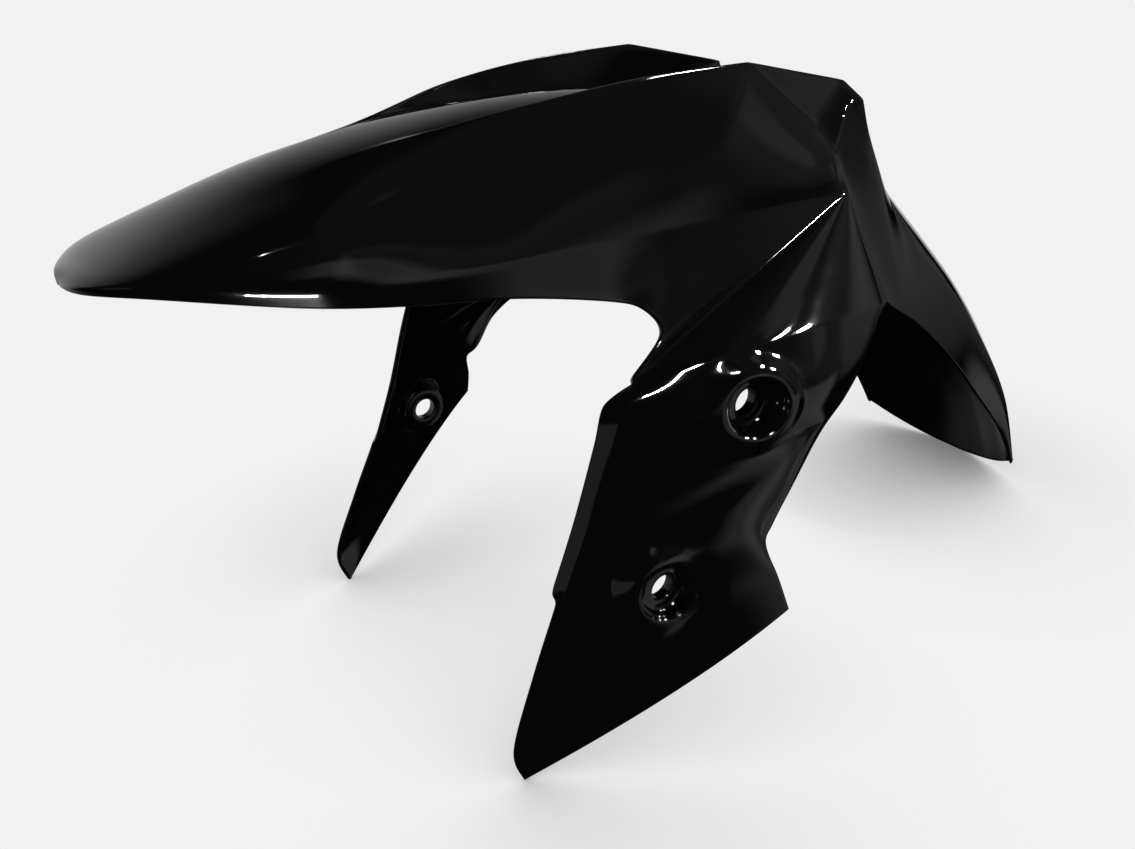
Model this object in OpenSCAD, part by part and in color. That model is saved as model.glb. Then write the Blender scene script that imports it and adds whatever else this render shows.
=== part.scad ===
// Front mudguard of a road motorcycle, moulded as one thin shell.
// X points forward, Y to the left and Z up, in millimetres. The guard rests on the two
// leg tips and on the middle of its tail, and the origin is under the middle of the whole.
// Each half is worked out on the left and repeated on the right.

/* [Shell] */
// Thickness of the moulded wall
wall = 2.8; // [2:0.1:4]
// Width of the folded strip along the front edge of each leg
front_strip = 7; // [5:0.5:12]
// How far that strip turns inwards
front_strip_turn = 4; // [0:0.5:6]

/* [Fork bolts] */
// Diameter of the bore for each fork bolt's bush
bore_d = 12; // [6:0.5:14]
// Diameter of the boss round each bore, at its inner face
boss_d = 24; // [22:0.5:28]
// Diameter of the boss where it meets the skin
boss_root_d = 28; // [26:0.5:30]
// Diameter of the round recess in the outer skin
recess_d = 26; // [23:0.5:27]
// Diameter of the recess at its floor
recess_floor_d = 23; // [16:0.5:24]
// Distance of the inner boss faces from the middle plane
seat_y = 105; // [103:0.5:108]
// Length of each bore, from the inner face to the floor of the recess
bore_length = 6; // [4:0.5:8]
// Diameter of the flat collar of the outer skin round each recess
pad_d = 31; // [30:0.5:34]
// Distance of the lower collar's middle from the middle plane
lower_pad_y = 116; // [114:0.5:118]
// Distance of the upper collar's middle from the middle plane
upper_pad_y = 119; // [116:0.5:121]
// How far the lower collar leans back, outwards for each millimetre rearwards
lower_lean = 0.26; // [0:0.01:0.4]
// How far the upper collar leans back
upper_lean = 0.33; // [0:0.01:0.4]
// How far each collar leans down, outwards for each millimetre downwards
pad_tilt = 0.08; // [0:0.01:0.2]
// Forward place of the lower bolt, from the leg tips
lower_bolt_x = -63; // [-68:1:-58]
// Height of the lower bolt
lower_bolt_z = 89; // [84:1:94]
// Forward place of the upper bolt, from the leg tips
upper_bolt_x = -104; // [-108:1:-98]
// Height of the upper bolt
upper_bolt_z = 166; // [160:1:170]

/* [Hidden] */

// Width of the step in which the leg panel leaves a bolt's collar
pad_fade = 7;
// Rows of the skin, counted outwards from the middle plane
crown_rows = 5;
inner_rows = 2;
chamfer_rows = 2;
outer_rows = 7;
side_rows = 4;
leg_rows = 24;
// Columns of the skin, counted rearwards from the tip of the nose
columns_per_station = 3;
leg_columns = 14;
tail_columns = 15;

crown_j = crown_rows;
fin_j = crown_j + inner_rows;
chamfer_j = fin_j + chamfer_rows;
crease_j = chamfer_j + outer_rows;
rim_j = crease_j + side_rows;
foot_j = rim_j + leg_rows;

// Stations along the front body. Each line of the form has one point a station.
// The crown's middle line, from the tip of the nose to the rear of the fins
crown_line = [
    [128, 0, 231], [125, 0, 235.5], [110, 0, 242.5], [60, 0, 259], [10, 0, 270.5],
    [-45, 0, 277.5], [-95, 0, 279], [-140, 0, 275], [-185, 0, 268], [-205, 0, 262]];
// The foot of the fin on the crown
fin_foot_line = [
    [128, 0, 231], [124, 3, 235.5], [109, 6, 242.5], [59, 12, 259], [9, 18, 270],
    [-45, 29, 273], [-95, 35, 270], [-145, 38, 264], [-200, 42, 254], [-218, 45, 247]];
// The top edge of the fin
fin_top_line = [
    [128, 0, 231], [124, 3, 235.5], [109, 7, 242.5], [59, 13, 259], [9, 20, 270.5],
    [-47, 34, 281.5], [-99, 39, 288], [-158, 42, 290.5], [-221, 43, 278], [-230, 49, 269]];
// The lower edge of the chamfered facet behind the fin's peak
chamfer_line = [
    [128, 0, 231], [124, 3, 235.5], [109, 7, 242.5], [59, 13, 259], [9, 20, 270.5],
    [-47, 34, 281.5], [-99, 39, 288], [-158, 42, 290.5], [-196, 50, 260], [-206, 56, 248]];
// The crease below the fin's outer face
crease_line = [
    [128, 0, 231], [125, 17, 234], [106, 37, 235], [58, 53, 229], [24, 58, 228],
    [-24, 62, 228.5], [-68, 64, 229.5], [-110, 65, 230.5], [-178, 65, 230.5], [-207, 65, 230.5]];
// The free rim below the crease, which turns down in front of the leg
rim_line = [
    [128, 0, 231], [124, 16.5, 231.5], [105, 36, 231.5], [58, 51, 223], [22, 57, 218],
    [-22, 62, 213.5], [-62, 69, 206.5], [-77, 75, 202], [-82, 81, 191], [-62, 86, 176]];

// Stations along the tail, from the rear of the fins to the end
tail_crown_line = [
    [-205, 0, 262], [-244, 0, 242], [-287, 0, 212], [-328, 0, 179], [-366, 0, 142],
    [-399, 0, 99], [-422, 0, 52], [-434, 0, 0]];
tail_foot_line = [
    [-218, 45, 247], [-240, 48, 237], [-262, 51, 212], [-287, 53, 187], [-317, 55, 160],
    [-350, 57, 125], [-388, 58, 76], [-415, 58, 18]];
tail_crest_line = [
    [-230, 49, 269], [-240, 50, 245], [-262, 53, 207], [-285, 56, 183.5], [-316, 58, 157],
    [-350, 60, 121], [-388, 61, 72], [-414, 60, 20]];
tail_rim_line = [
    [-226, 82, 176], [-243, 78, 166], [-263, 74, 155], [-289, 70, 138], [-321, 66, 113],
    [-354, 63, 83], [-388, 61, 50], [-412, 60, 16]];
// The edge that the panel's rear makes with the tail's side wall, downwards
shoulder_line = [[-230, 49, 269], [-219, 49, 267], [-206, 56, 248], [-207, 65, 230.5], [-226, 82, 176]];
// The leg's front edge, its rounded ridge and its rear edge, from the knee crease to the foot
leg_front_line = [
    [-62, 86, 176], [-49, 88, 169], [-43, 90, 153], [-33, 90, 120], [-22, 90, 90],
    [-20.5, 90, 84], [-7.5, 92, 54], [5, 94.5, 20], [0, 95, 0]];
leg_ridge_line = [
    [-136, 111, 191], [-126, 121, 170], [-120, 121, 154], [-111, 120, 145], [-100, 119.5, 133],
    [-87, 119, 120], [-74, 118, 103], [-68, 120.5, 74], [-61, 125.5, 43]];
leg_rear_line = [
    [-226, 82, 176], [-204, 93, 164], [-179, 103, 152], [-144, 118, 143], [-123, 125, 128],
    [-111, 126, 111], [-105, 129, 105], [-108, 135.5, 90], [-110, 141.5, 76]];

function clamp(v, low, high) = max(low, min(high, v));
function at(p, k) = p[clamp(k, 0, len(p) - 1)];
// A smooth curve through the points p, at t from the first (0) to the last (len - 1)
function smooth(p, t) =
    let (k = clamp(floor(t), 0, len(p) - 2), f = t - k,
        a = at(p, k), b = at(p, k + 1), da = (b - at(p, k - 1)) / 2, db = (at(p, k + 2) - a) / 2)
    a * (1 + 2 * f) * (1 - f) * (1 - f) + da * f * (1 - f) * (1 - f)
    + b * f * f * (3 - 2 * f) + db * f * f * (f - 1);
// Straight stretches between the points p
function straight(p, t) =
    let (k = clamp(floor(t), 0, len(p) - 2), f = t - k) p[k] * (1 - f) + p[k + 1] * f;
// A step from 0 to 1 with soft ends
function ease(f) = let (c = clamp(f, 0, 1)) c * c * (3 - 2 * c);

front_last = len(crown_line) - 1;
// Station of the fin's peak
peak_station = 7;
tail_last = len(tail_crown_line) - 1;
rim_i = front_last * columns_per_station;
leg_i = rim_i + leg_columns;
end_i = leg_i + tail_columns;

// Station of column i on the front body and on the tail
function front_s(i) = min(i, rim_i) / columns_per_station;
function tail_s(i) = tail_last * (i - leg_i) / tail_columns;

// Lines with a sharp corner at the fin's peak
function fin_edge(p, s) = s <= peak_station
    ? smooth([for (k = [0:peak_station]) p[k]], s) : straight(p, s);

// A row from a to b, with its middle raised by lift
no_bow = [0, 0, 0];
fin_bow = [0, 2.5, 1];
tail_bow = [0, 1.5, 0];
function bowed(a, b, v, lift) = a * (1 - v) + b * v + lift * 4 * v * (1 - v);

// Section of the nose, one dome from the middle line to the crease: a cubic curve whose inner
// points lie this share along its width and height, and bulge by this share of its width
dome_reach = 0.66;
dome_belly = 0.1;
function dome(a, d, v) =
    let (w = d[1], h = a[2] - d[2],
        b = a + [0, dome_reach * w, 0], c = d + [0, dome_belly * w, dome_reach * h])
    a * pow(1 - v, 3) + b * 3 * v * pow(1 - v, 2) + c * 3 * v * v * (1 - v) + d * pow(v, 3);

// Share of the dome taken by a row of the front body
fin_foot_v = 0.17;
fin_top_v = 0.19;
function dome_v(j) = j <= crown_j ? fin_foot_v * j / crown_j
    : j <= fin_j ? fin_foot_v + (fin_top_v - fin_foot_v) * (j - crown_j) / inner_rows
    : j <= chamfer_j ? fin_top_v : fin_top_v + (1 - fin_top_v) * (j - chamfer_j) / outer_rows;

// Creased section of the front body
function creased(s, j) = j <= crown_j
    ? crown_arc(smooth(crown_line, s), smooth(fin_foot_line, s), j / crown_j)
    : j <= fin_j
    ? bowed(smooth(fin_foot_line, s), fin_edge(fin_top_line, s), (j - crown_j) / inner_rows, no_bow)
    : j <= chamfer_j
    ? bowed(fin_edge(fin_top_line, s), fin_edge(chamfer_line, s), (j - fin_j) / chamfer_rows, no_bow)
    : bowed(fin_edge(chamfer_line, s), smooth(crease_line, s), (j - chamfer_j) / outer_rows, fin_bow);

// Arc of an ellipse that leaves the middle line level, up to this share of its half width
arc_share = 0.85;
function crown_arc(a, b, v) =
    let (drop = 1 - sqrt(1 - pow(v * arc_share, 2)), f = drop / (1 - sqrt(1 - pow(arc_share, 2))))
    [a[0] + (b[0] - a[0]) * f, b[1] * v, a[2] + (b[2] - a[2]) * f];

// The fins grow out of the dome between these two stations
fin_start = 3.2;
fin_full = 5;

function front_point(i, j) =
    let (s = front_s(i), w = ease((s - fin_start) / (fin_full - fin_start)))
    w <= 0 ? dome(smooth(crown_line, s), smooth(crease_line, s), dome_v(j))
    : w >= 1 ? creased(s, j)
    : dome(smooth(crown_line, s), smooth(crease_line, s), dome_v(j)) * (1 - w) + creased(s, j) * w;

// Straight stretches between two numbered points of p
function between(p, k0, k1, v) = straight(p, k0 + (k1 - k0) * v);
function shoulder_point(j) =
    j <= fin_j ? creased(front_last, j)
    : j <= chamfer_j ? between(shoulder_line, 0, 2, (j - fin_j) / chamfer_rows)
    : j <= crease_j ? between(shoulder_line, 2, 3, (j - chamfer_j) / outer_rows)
    : between(shoulder_line, 3, 4, (j - crease_j) / side_rows);

function side_point(i, j) =
    let (v = (j - crease_j) / side_rows)
    i <= rim_i ? bowed(smooth(crease_line, front_s(i)), smooth(rim_line, front_s(i)), v, no_bow)
    : bowed(crease_line[front_last], leg_row(leg_u(i, 0), 0), v, no_bow);

// Leg panel: each row is a parabola through its front edge, ridge and rear edge. A strip along
// the front edge is turned inwards at a crease, narrows towards the kink and runs out below it.
leg_last = len(leg_front_line) - 1;
kink_v = 0.5;
strip_end_v = 0.625;
narrow_share = 0.65;
least_share = 0.1;
// Share of the leg's length over which the turn of the strip grows
strip_start = 0.125;
function half_girth(v) =
    norm(smooth(leg_ridge_line, v * leg_last) - smooth(leg_front_line, v * leg_last));
function strip_share(v) = clamp((strip_end_v - v) / (strip_end_v - kink_v), least_share, 1);
function strip_u(v) =
    let (width = front_strip * (1 - (1 - narrow_share) * min(1, v / kink_v)))
    strip_share(v) * width / half_girth(v) / 2;
function strip_drop(u, v) =
    strip_share(v) * front_strip_turn * min(1, v / strip_start) * max(0, 1 - u / strip_u(v));
function leg_row(u, v) =
    let (front = smooth(leg_front_line, v * leg_last), ridge = smooth(leg_ridge_line, v * leg_last),
        rear = smooth(leg_rear_line, v * leg_last))
    front * (1 - u) * (1 - 2 * u) + ridge * 4 * u * (1 - u) + rear * u * (2 * u - 1)
    - [0, strip_drop(u, v), 0];
function leg_u(i, v) =
    let (k = i - rim_i, e = strip_u(v))
    k == 0 ? 0 : e + (1 - e) * (k - 1) / (leg_columns - 1);
function leg_point(i, j) =
    let (v = (j - rim_j) / leg_rows, bare = leg_row(leg_u(i, v), v),
        low = padded(bare, lower_bolt_x, lower_bolt_z, lower_pad_y, lower_lean))
    padded(low, upper_bolt_x, upper_bolt_z, upper_pad_y, upper_lean);
// The panel is flat round each bolt, and runs back into its own shape outside that collar
function padded(p, x, z, y, lean) =
    let (flat_y = y + lean * (x - p[0]) + pad_tilt * (z - p[2]),
        w = 1 - ease((norm([p[0] - x, p[2] - z]) - pad_d / 2) / pad_fade))
    [p[0], p[1] + (flat_y - p[1]) * w, p[2]];

function tail_point(i, j) =
    let (s = tail_s(i), crest = smooth(tail_crest_line, s), foot = smooth(tail_foot_line, s),
        rim = smooth(tail_rim_line, s), crown = smooth(tail_crown_line, s))
    j <= crown_j ? crown_arc(crown, foot, j / crown_j)
    : j <= fin_j ? bowed(foot, crest, (j - crown_j) / inner_rows, no_bow)
    : bowed(crest, rim, (j - fin_j) / (rim_j - fin_j), tail_bow);
// The shoulder fades into the tail's side wall within this many stations
shoulder_fade = 1.2;
function wall_point(i, j) =
    let (s = tail_s(i), w = 1 - ease(s / shoulder_fade))
    j <= fin_j ? tail_point(i, j) : tail_point(i, j) + (shoulder_point(j) - tail_point(leg_i, j)) * w;

// The outer skin at column i and row j, on the left
function skin(i, j) =
    j > rim_j ? leg_point(i, j)
    : i > leg_i ? wall_point(i, j)
    : i > rim_i && j <= crease_j ? shoulder_point(j)
    : i == leg_i ? shoulder_point(j)
    : i == rim_i && j <= crease_j ? shoulder_point(j)
    : j <= crease_j ? front_point(i, j)
    : side_point(i, j);

column_count = end_i + 1;
row_count = foot_j + 1;
outer_grid = [for (j = [0:foot_j]) [for (i = [0:end_i])
    j > rim_j && (i < rim_i || i > leg_i) ? [0, 0, 0] : skin(i, j)]];

// Columns that share one point: the nose tip, the shoulder and the closed part of the chamfer
peak_i = peak_station * columns_per_station;
function own_i(i, j) = i == 0 ? 0 : j <= crease_j && i > rim_i && i <= leg_i ? rim_i : i;
function own_j(i, j) = i == 0 ? 0 : i <= peak_i && j > fin_j && j <= chamfer_j ? fin_j : j;
function spot(i, j) = outer_grid[own_j(i, j)][own_i(i, j)];

// Neighbours along the row and along the column, past the shared columns
function next_i(i, j) = j <= crease_j && i >= rim_i && i < leg_i + 1 ? leg_i + 1 : i + 1;
function last_i(i, j) =
    j > crease_j || i <= rim_i || i > leg_i + 1 ? i - 1 : i == leg_i + 1 ? rim_i : rim_i - 1;
function first_col(j) = j > rim_j ? rim_i : 0;
function final_col(j) = j > rim_j ? leg_i : end_i;
function low_row(i) = i >= rim_i && i <= leg_i ? foot_j : rim_j;
function next_j(i, j) = i <= peak_i && j == fin_j ? chamfer_j + 1 : j + 1;
function last_j(i, j) = i <= peak_i && j == chamfer_j + 1 ? fin_j : j - 1;

function unit(v) = v / max(norm(v), 1e-6);
// Mitre between the skin above and below a row, so that the wall keeps its thickness in a fold,
// held back where the fold is sharp
mitre_floor = 0.25;
function mitre(a, b) = (a + b) / max(1 + a * b, mitre_floor);
// Outward direction of the wall at a point, and at the tip of the nose
nose_out = [1, 0, 0.25];
function out_at(i, j) =
    i == 0 ? nose_out :
    let (ie = min(next_i(i, j), final_col(j)), iw = max(last_i(i, j), first_col(j)),
        js = min(next_j(i, j), low_row(i)), jn = max(last_j(i, j), 0),
        along = spot(ie, j) - spot(iw, j),
        above = unit(cross(spot(i, j) - spot(i, jn), along)),
        below = unit(cross(spot(i, js) - spot(i, j), along)))
    j == 0 ? unit([-along[2], 0, along[0]]) * -1 : js == j ? above : mitre(above, below);
// The inner skin, which stays above the surface that the guard rests on
function inset(i, j) =
    let (p = spot(i, j) - wall * out_at(own_i(i, j), own_j(i, j))) [p[0], p[1], max(p[2], 0)];
inner_grid = [for (j = [0:foot_j]) [for (i = [0:end_i])
    j > rim_j && (i < rim_i || i > leg_i) ? [0, 0, 0] : inset(i, j)]];

layer_size = row_count * column_count;
function mirrored(p) = [p[0], -p[1], p[2]];
shell_points = [
    for (row = outer_grid) each row,
    for (row = inner_grid) each row,
    for (row = outer_grid) for (p = row) mirrored(p),
    for (row = inner_grid) for (p = row) mirrored(p)];

// Number of a point: layer 0 outer, 1 inner; hand 0 left, 1 right, with one middle line
function number(i, j, layer, hand) =
    let (jj = own_j(i, j), ii = own_i(i, j))
    (jj == 0 ? layer : layer + 2 * hand) * layer_size + jj * column_count + ii;
function different(f) = [for (k = [0:len(f) - 1]) if (f[k] != f[(k + 1) % len(f)]) f[k]];
function turned(f, flip) = flip ? [for (k = [len(f) - 1:-1:0]) f[k]] : f;
function has_cell(i, j) = j < rim_j ? true : i >= rim_i && i < leg_i;

skin_faces = [for (hand = [0, 1]) for (layer = [0, 1]) for (j = [0:foot_j - 1]) for (i = [0:end_i - 1])
    if (has_cell(i, j))
        let (f = different([number(i, j, layer, hand), number(i + 1, j, layer, hand),
            number(i + 1, j + 1, layer, hand), number(i, j + 1, layer, hand)]))
        if (len(f) > 2) turned(f, (layer + hand) % 2 == 1)];

// The free edge of one half, from the nose round the leg and the tail to the middle line
edge_walk = [
    for (i = [0:rim_i]) [i, rim_j],
    for (j = [rim_j + 1:foot_j]) [rim_i, j],
    for (i = [rim_i + 1:leg_i]) [i, foot_j],
    for (j = [foot_j - 1:-1:rim_j]) [leg_i, j],
    for (i = [leg_i + 1:end_i]) [i, rim_j],
    for (j = [rim_j - 1:-1:0]) [end_i, j]];
edge_faces = [for (hand = [0, 1]) for (k = [0:len(edge_walk) - 2])
    let (a = edge_walk[k], b = edge_walk[k + 1],
        f = [number(a[0], a[1], 0, hand), number(b[0], b[1], 0, hand),
            number(b[0], b[1], 1, hand), number(a[0], a[1], 1, hand)])
    turned(f, hand == 1)];

function triangles(f) = [for (k = [1:len(f) - 2]) [f[0], f[k], f[k + 1]]];
shell_faces = [for (f = concat(skin_faces, edge_faces)) each triangles(f)];

// Centre of the length, which is moved to the origin
nose_x = crown_line[0][0];
tail_x = tail_crown_line[tail_last][0];
middle_x = (nose_x + tail_x) / 2;

// The bolts of the left leg: forward place, height, distance and lean of the collar
bolts = [
    [lower_bolt_x, lower_bolt_z, lower_pad_y, lower_lean],
    [upper_bolt_x, upper_bolt_z, upper_pad_y, upper_lean]];
// How far the recess cut runs past the collar, and each bore past its faces
cut_reach = 6;
bore_reach = 1;

// What is drawn on the left, and its mirror image on the right
module both_sides() {
    children();
    mirror([0, 1, 0]) children();
}

// A round solid on a bolt's axis, between two distances from the middle plane
module on_bolt(bolt, from_y, to_y, d_from, d_to) {
    translate([bolt[0], from_y, bolt[1]])
        rotate([-90, 0, 0])
            cylinder(h = to_y - from_y, d1 = d_from, d2 = d_to, $fn = 48);
}

// All that lies outside the middle of the wall at a collar
module past_wall(bolt) {
    side = 2 * boss_root_d;
    translate([bolt[0], bolt[2] - wall / 2, bolt[1]])
        rotate([atan(pad_tilt), 0, -atan(bolt[3])])
            translate([-side / 2, 0, -side / 2])
                cube(side);
}

// The boss, from its face against the fork to the wall that leans over it
module boss(bolt) {
    difference() {
        on_bolt(bolt, seat_y, bolt[2] + bolt[3] * boss_root_d / 2, boss_d, boss_root_d);
        past_wall(bolt);
    }
}

// The recess and the bore in its floor
module bolt_cut(bolt) {
    floor_y = seat_y + bore_length;
    flare = (recess_d - recess_floor_d) / (bolt[2] - floor_y);
    on_bolt(bolt, floor_y, bolt[2] + cut_reach, recess_floor_d, recess_d + flare * cut_reach);
    on_bolt(bolt, seat_y - bore_reach, floor_y + bore_reach, bore_d, bore_d);
}

module mudguard() {
    color("#0b0b0d") translate([-middle_x, 0, 0]) difference() {
        union() {
            polyhedron(points = shell_points, faces = shell_faces, convexity = 10);
            both_sides() for (bolt = bolts) boss(bolt);
        }
        both_sides() for (bolt = bolts) bolt_cut(bolt);
    }
}

mudguard();
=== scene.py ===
"""Front mudguard of a road motorcycle: one moulded shell in deep gloss black, on a pale studio floor.

The shell is a skin of smooth and creased bands between named lines of stations, drawn in
millimetres in a frame that stands under the leg tips, and then moved to the frame of the model.
"""

import logging
import math
from dataclasses import dataclass, field
from enum import Enum

import bmesh
import bpy
import numpy as np
from mathutils import Matrix, Vector


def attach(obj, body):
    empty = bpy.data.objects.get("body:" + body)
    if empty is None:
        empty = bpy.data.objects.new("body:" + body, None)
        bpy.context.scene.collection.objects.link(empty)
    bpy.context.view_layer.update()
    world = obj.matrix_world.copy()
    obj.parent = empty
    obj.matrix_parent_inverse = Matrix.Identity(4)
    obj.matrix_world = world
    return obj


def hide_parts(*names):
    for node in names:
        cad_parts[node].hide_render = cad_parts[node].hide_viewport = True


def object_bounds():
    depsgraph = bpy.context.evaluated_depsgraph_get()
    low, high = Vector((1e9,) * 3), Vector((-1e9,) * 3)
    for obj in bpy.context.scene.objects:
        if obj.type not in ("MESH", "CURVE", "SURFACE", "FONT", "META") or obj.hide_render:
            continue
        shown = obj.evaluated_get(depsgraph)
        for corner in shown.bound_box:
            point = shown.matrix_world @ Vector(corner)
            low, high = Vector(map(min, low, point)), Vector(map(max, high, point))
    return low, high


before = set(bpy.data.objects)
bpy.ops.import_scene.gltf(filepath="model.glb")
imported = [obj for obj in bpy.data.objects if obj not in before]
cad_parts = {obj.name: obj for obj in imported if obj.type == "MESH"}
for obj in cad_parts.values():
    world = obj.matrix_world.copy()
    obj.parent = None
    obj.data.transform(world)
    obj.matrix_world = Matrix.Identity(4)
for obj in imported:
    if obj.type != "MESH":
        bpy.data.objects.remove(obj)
cad_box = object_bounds()

LOG = logging.getLogger("mudguard")
MM = 0.001
SHELL_NODE = "mudguard"
BODY = "root"
Size = float | np.ndarray

# The least length, area and half stretch of a path that count, in millimetres
TINY = 1e-9
NO_AREA = 1e-12
SHORTEST = 1e-6


def line(*points: tuple[float, float, float]) -> np.ndarray:
    """The stations of one line, in millimetres."""
    return np.array(points, float)


def ease(f: np.ndarray) -> np.ndarray:
    """A step from 0 to 1 with soft ends: 3 f squared less 2 f cubed."""
    c = np.clip(f, 0.0, 1.0)
    return c * c * (3 - 2 * c)


def smooth(stations: np.ndarray, t: np.ndarray) -> np.ndarray:
    """A curve through the stations, whose slope at each is half the step between its neighbours.

    Args:
        stations: Points of the line, one row each.
        t: Places along the line, from 0 at the first station.

    Returns:
        One point for each value of t.
    """
    last = len(stations) - 1
    k = np.clip(np.floor(t).astype(int), 0, last - 1)
    f = (t - k)[..., None]
    a, b = stations[k], stations[k + 1]
    slope_a = (b - stations[np.maximum(k - 1, 0)]) / 2
    slope_b = (stations[np.minimum(k + 2, last)] - a) / 2
    return (a * (1 + 2 * f) * (1 - f) ** 2 + slope_a * f * (1 - f) ** 2
            + b * f * f * (3 - 2 * f) + slope_b * f * f * (f - 1))


def straight(stations: np.ndarray, t: np.ndarray) -> np.ndarray:
    """Straight stretches between the stations, at the places t.

    Args:
        stations: Points of the line, one row each.
        t: Places along the line, from 0 at the first station.

    Returns:
        One point for each value of t.
    """
    k = np.clip(np.floor(t).astype(int), 0, len(stations) - 2)
    f = (t - k)[..., None]
    return stations[k] * (1 - f) + stations[k + 1] * f


def bowed(a: np.ndarray, b: np.ndarray, v: np.ndarray, lift: np.ndarray) -> np.ndarray:
    """Rows from the line a to the line b, raised by lift in the middle as a parabola."""
    v = v[:, None, None]
    return a * (1 - v) + b * v + lift * 4 * v * (1 - v)


def gathered(count: int, share: float = 0.8) -> np.ndarray:
    """Places from 0 to 1 that lie closer at both ends: a share of a cosine, the rest even."""
    t = np.linspace(0.0, 1.0, count + 1)
    return (1 - share) * t + share * (1 - np.cos(math.pi * t)) / 2


def lengths(path: np.ndarray) -> np.ndarray:
    """Distance along a path from its first point to each of its points."""
    return np.concatenate([[0.0], np.cumsum(np.linalg.norm(np.diff(path, axis=0), axis=1))])


def averaged(path: np.ndarray, values: np.ndarray, reach: float) -> np.ndarray:
    """Mean of the values over a stretch of the path that runs by reach to both sides of a point.

    The stretch is shorter near the path's ends, so both end values stay. The mean is the
    difference of the running integral at the two ends of the stretch, over its length.

    Args:
        path: Points along the path, which give the distances.
        values: One row of values for each point.
        reach: Half the length of the stretch.

    Returns:
        The averaged values.
    """
    s = lengths(path)
    integral = np.concatenate([np.zeros((1, values.shape[1])),
                               np.cumsum(np.diff(s)[:, None] * (values[1:] + values[:-1]) / 2, axis=0)])
    half = np.minimum(reach, np.minimum(s, s[-1] - s))

    def running(place: np.ndarray) -> np.ndarray:
        """The running integral at a place along the path.

        Args:
            place: Distances from the path's start.

        Returns:
            One row of the integral for each distance.
        """
        k = np.clip(np.searchsorted(s, place, side="right") - 1, 0, len(s) - 2)
        step = np.maximum(s[k + 1] - s[k], TINY)
        f = np.clip((place - s[k]) / step, 0.0, 1.0)[:, None]
        here = values[k] * (1 - f) + values[k + 1] * f
        return integral[k] + (place - s[k])[:, None] * (values[k] + here) / 2

    wide = half > SHORTEST
    result = values.copy()
    result[wide] = (running((s + half)[wide]) - running((s - half)[wide])) / (2 * half[wide])[:, None]
    return result


def placed(path: np.ndarray, place: np.ndarray) -> np.ndarray:
    """Points of the path at the given distances along it."""
    s = lengths(path)
    return np.stack([np.interp(place, s, path[:, axis]) for axis in range(3)], axis=1)


def first_crossing(a: np.ndarray, b: np.ndarray) -> tuple[float, float] | None:
    """The crossing of two flat paths that lies nearest to the start of the first.

    Two stretches p + f r and q + g t cross at f = (q - p) x t / (r x t), g = (q - p) x r / (r x t),
    where both shares lie between 0 and 1.

    Args:
        a: Points of the first path, which ends where the second starts.
        b: Points of the second path.

    Returns:
        The place on each path, counted in points, or None where they don't cross.
    """
    r, t = np.diff(a, axis=0)[:, None], np.diff(b, axis=0)[None]
    gap = b[None, :-1] - a[:-1, None]

    def cross(m: np.ndarray, n: np.ndarray) -> np.ndarray:
        """The flat cross product."""
        return m[..., 0] * n[..., 1] - m[..., 1] * n[..., 0]

    size = cross(r, t)
    size = np.where(np.abs(size) < NO_AREA, NO_AREA, size)
    f, g = cross(gap, t) / size, cross(gap, r) / size
    hit = (f >= 0) & (f <= 1) & (g >= 0) & (g <= 1)
    hit[-1, 0] = False
    if not hit.any():
        return None
    j, k = (int(each[0]) for each in np.nonzero(hit))
    return j + float(f[j, k]), k + float(g[j, k])


def drawn_back(path: np.ndarray, amount: float, zone: float) -> np.ndarray:
    """The path with its last stretch squeezed, so that it ends by amount before its old end.

    Args:
        path: Points along the path.
        amount: How far the end moves back.
        zone: Length of the stretch that is squeezed.

    Returns:
        As many points, on the same path.
    """
    s = lengths(path)
    zone = min(zone, s[-1] / 2)
    amount = min(amount, zone / 2)
    rest = s[-1] - s
    rest = np.where(rest < zone, amount + rest * (zone - amount) / max(zone, TINY), rest)
    return placed(path, s[-1] - rest)


def grid_walk(*corners: tuple[int, int]) -> np.ndarray:
    """Rows and columns met on the way from corner to corner of a grid, each corner once.

    Args:
        corners: Row and column of each corner, where one of both stays from each to the next.

    Returns:
        One pair of a row and a column for each place.
    """
    ends = np.array(corners)
    reached = np.concatenate([[0], np.cumsum(np.abs(np.diff(ends, axis=0)).sum(axis=1))])
    steps = np.arange(reached[-1] + 1)
    walk = np.stack([np.interp(steps, reached, ends[:, axis]) for axis in range(2)], axis=1)
    return walk.round().astype(int)


def unit(v: np.ndarray) -> np.ndarray:
    """The vectors at length one."""
    return v / np.maximum(np.linalg.norm(v, axis=-1, keepdims=True), TINY)


class Band(Enum):
    """The bands of the skin, outwards from the middle line, with their number of rows."""

    CROWN = 16
    FIN_INSIDE = 9
    CHAMFER = 8
    OUTSIDE = 30
    SIDE = 12
    LEG = 92


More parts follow.
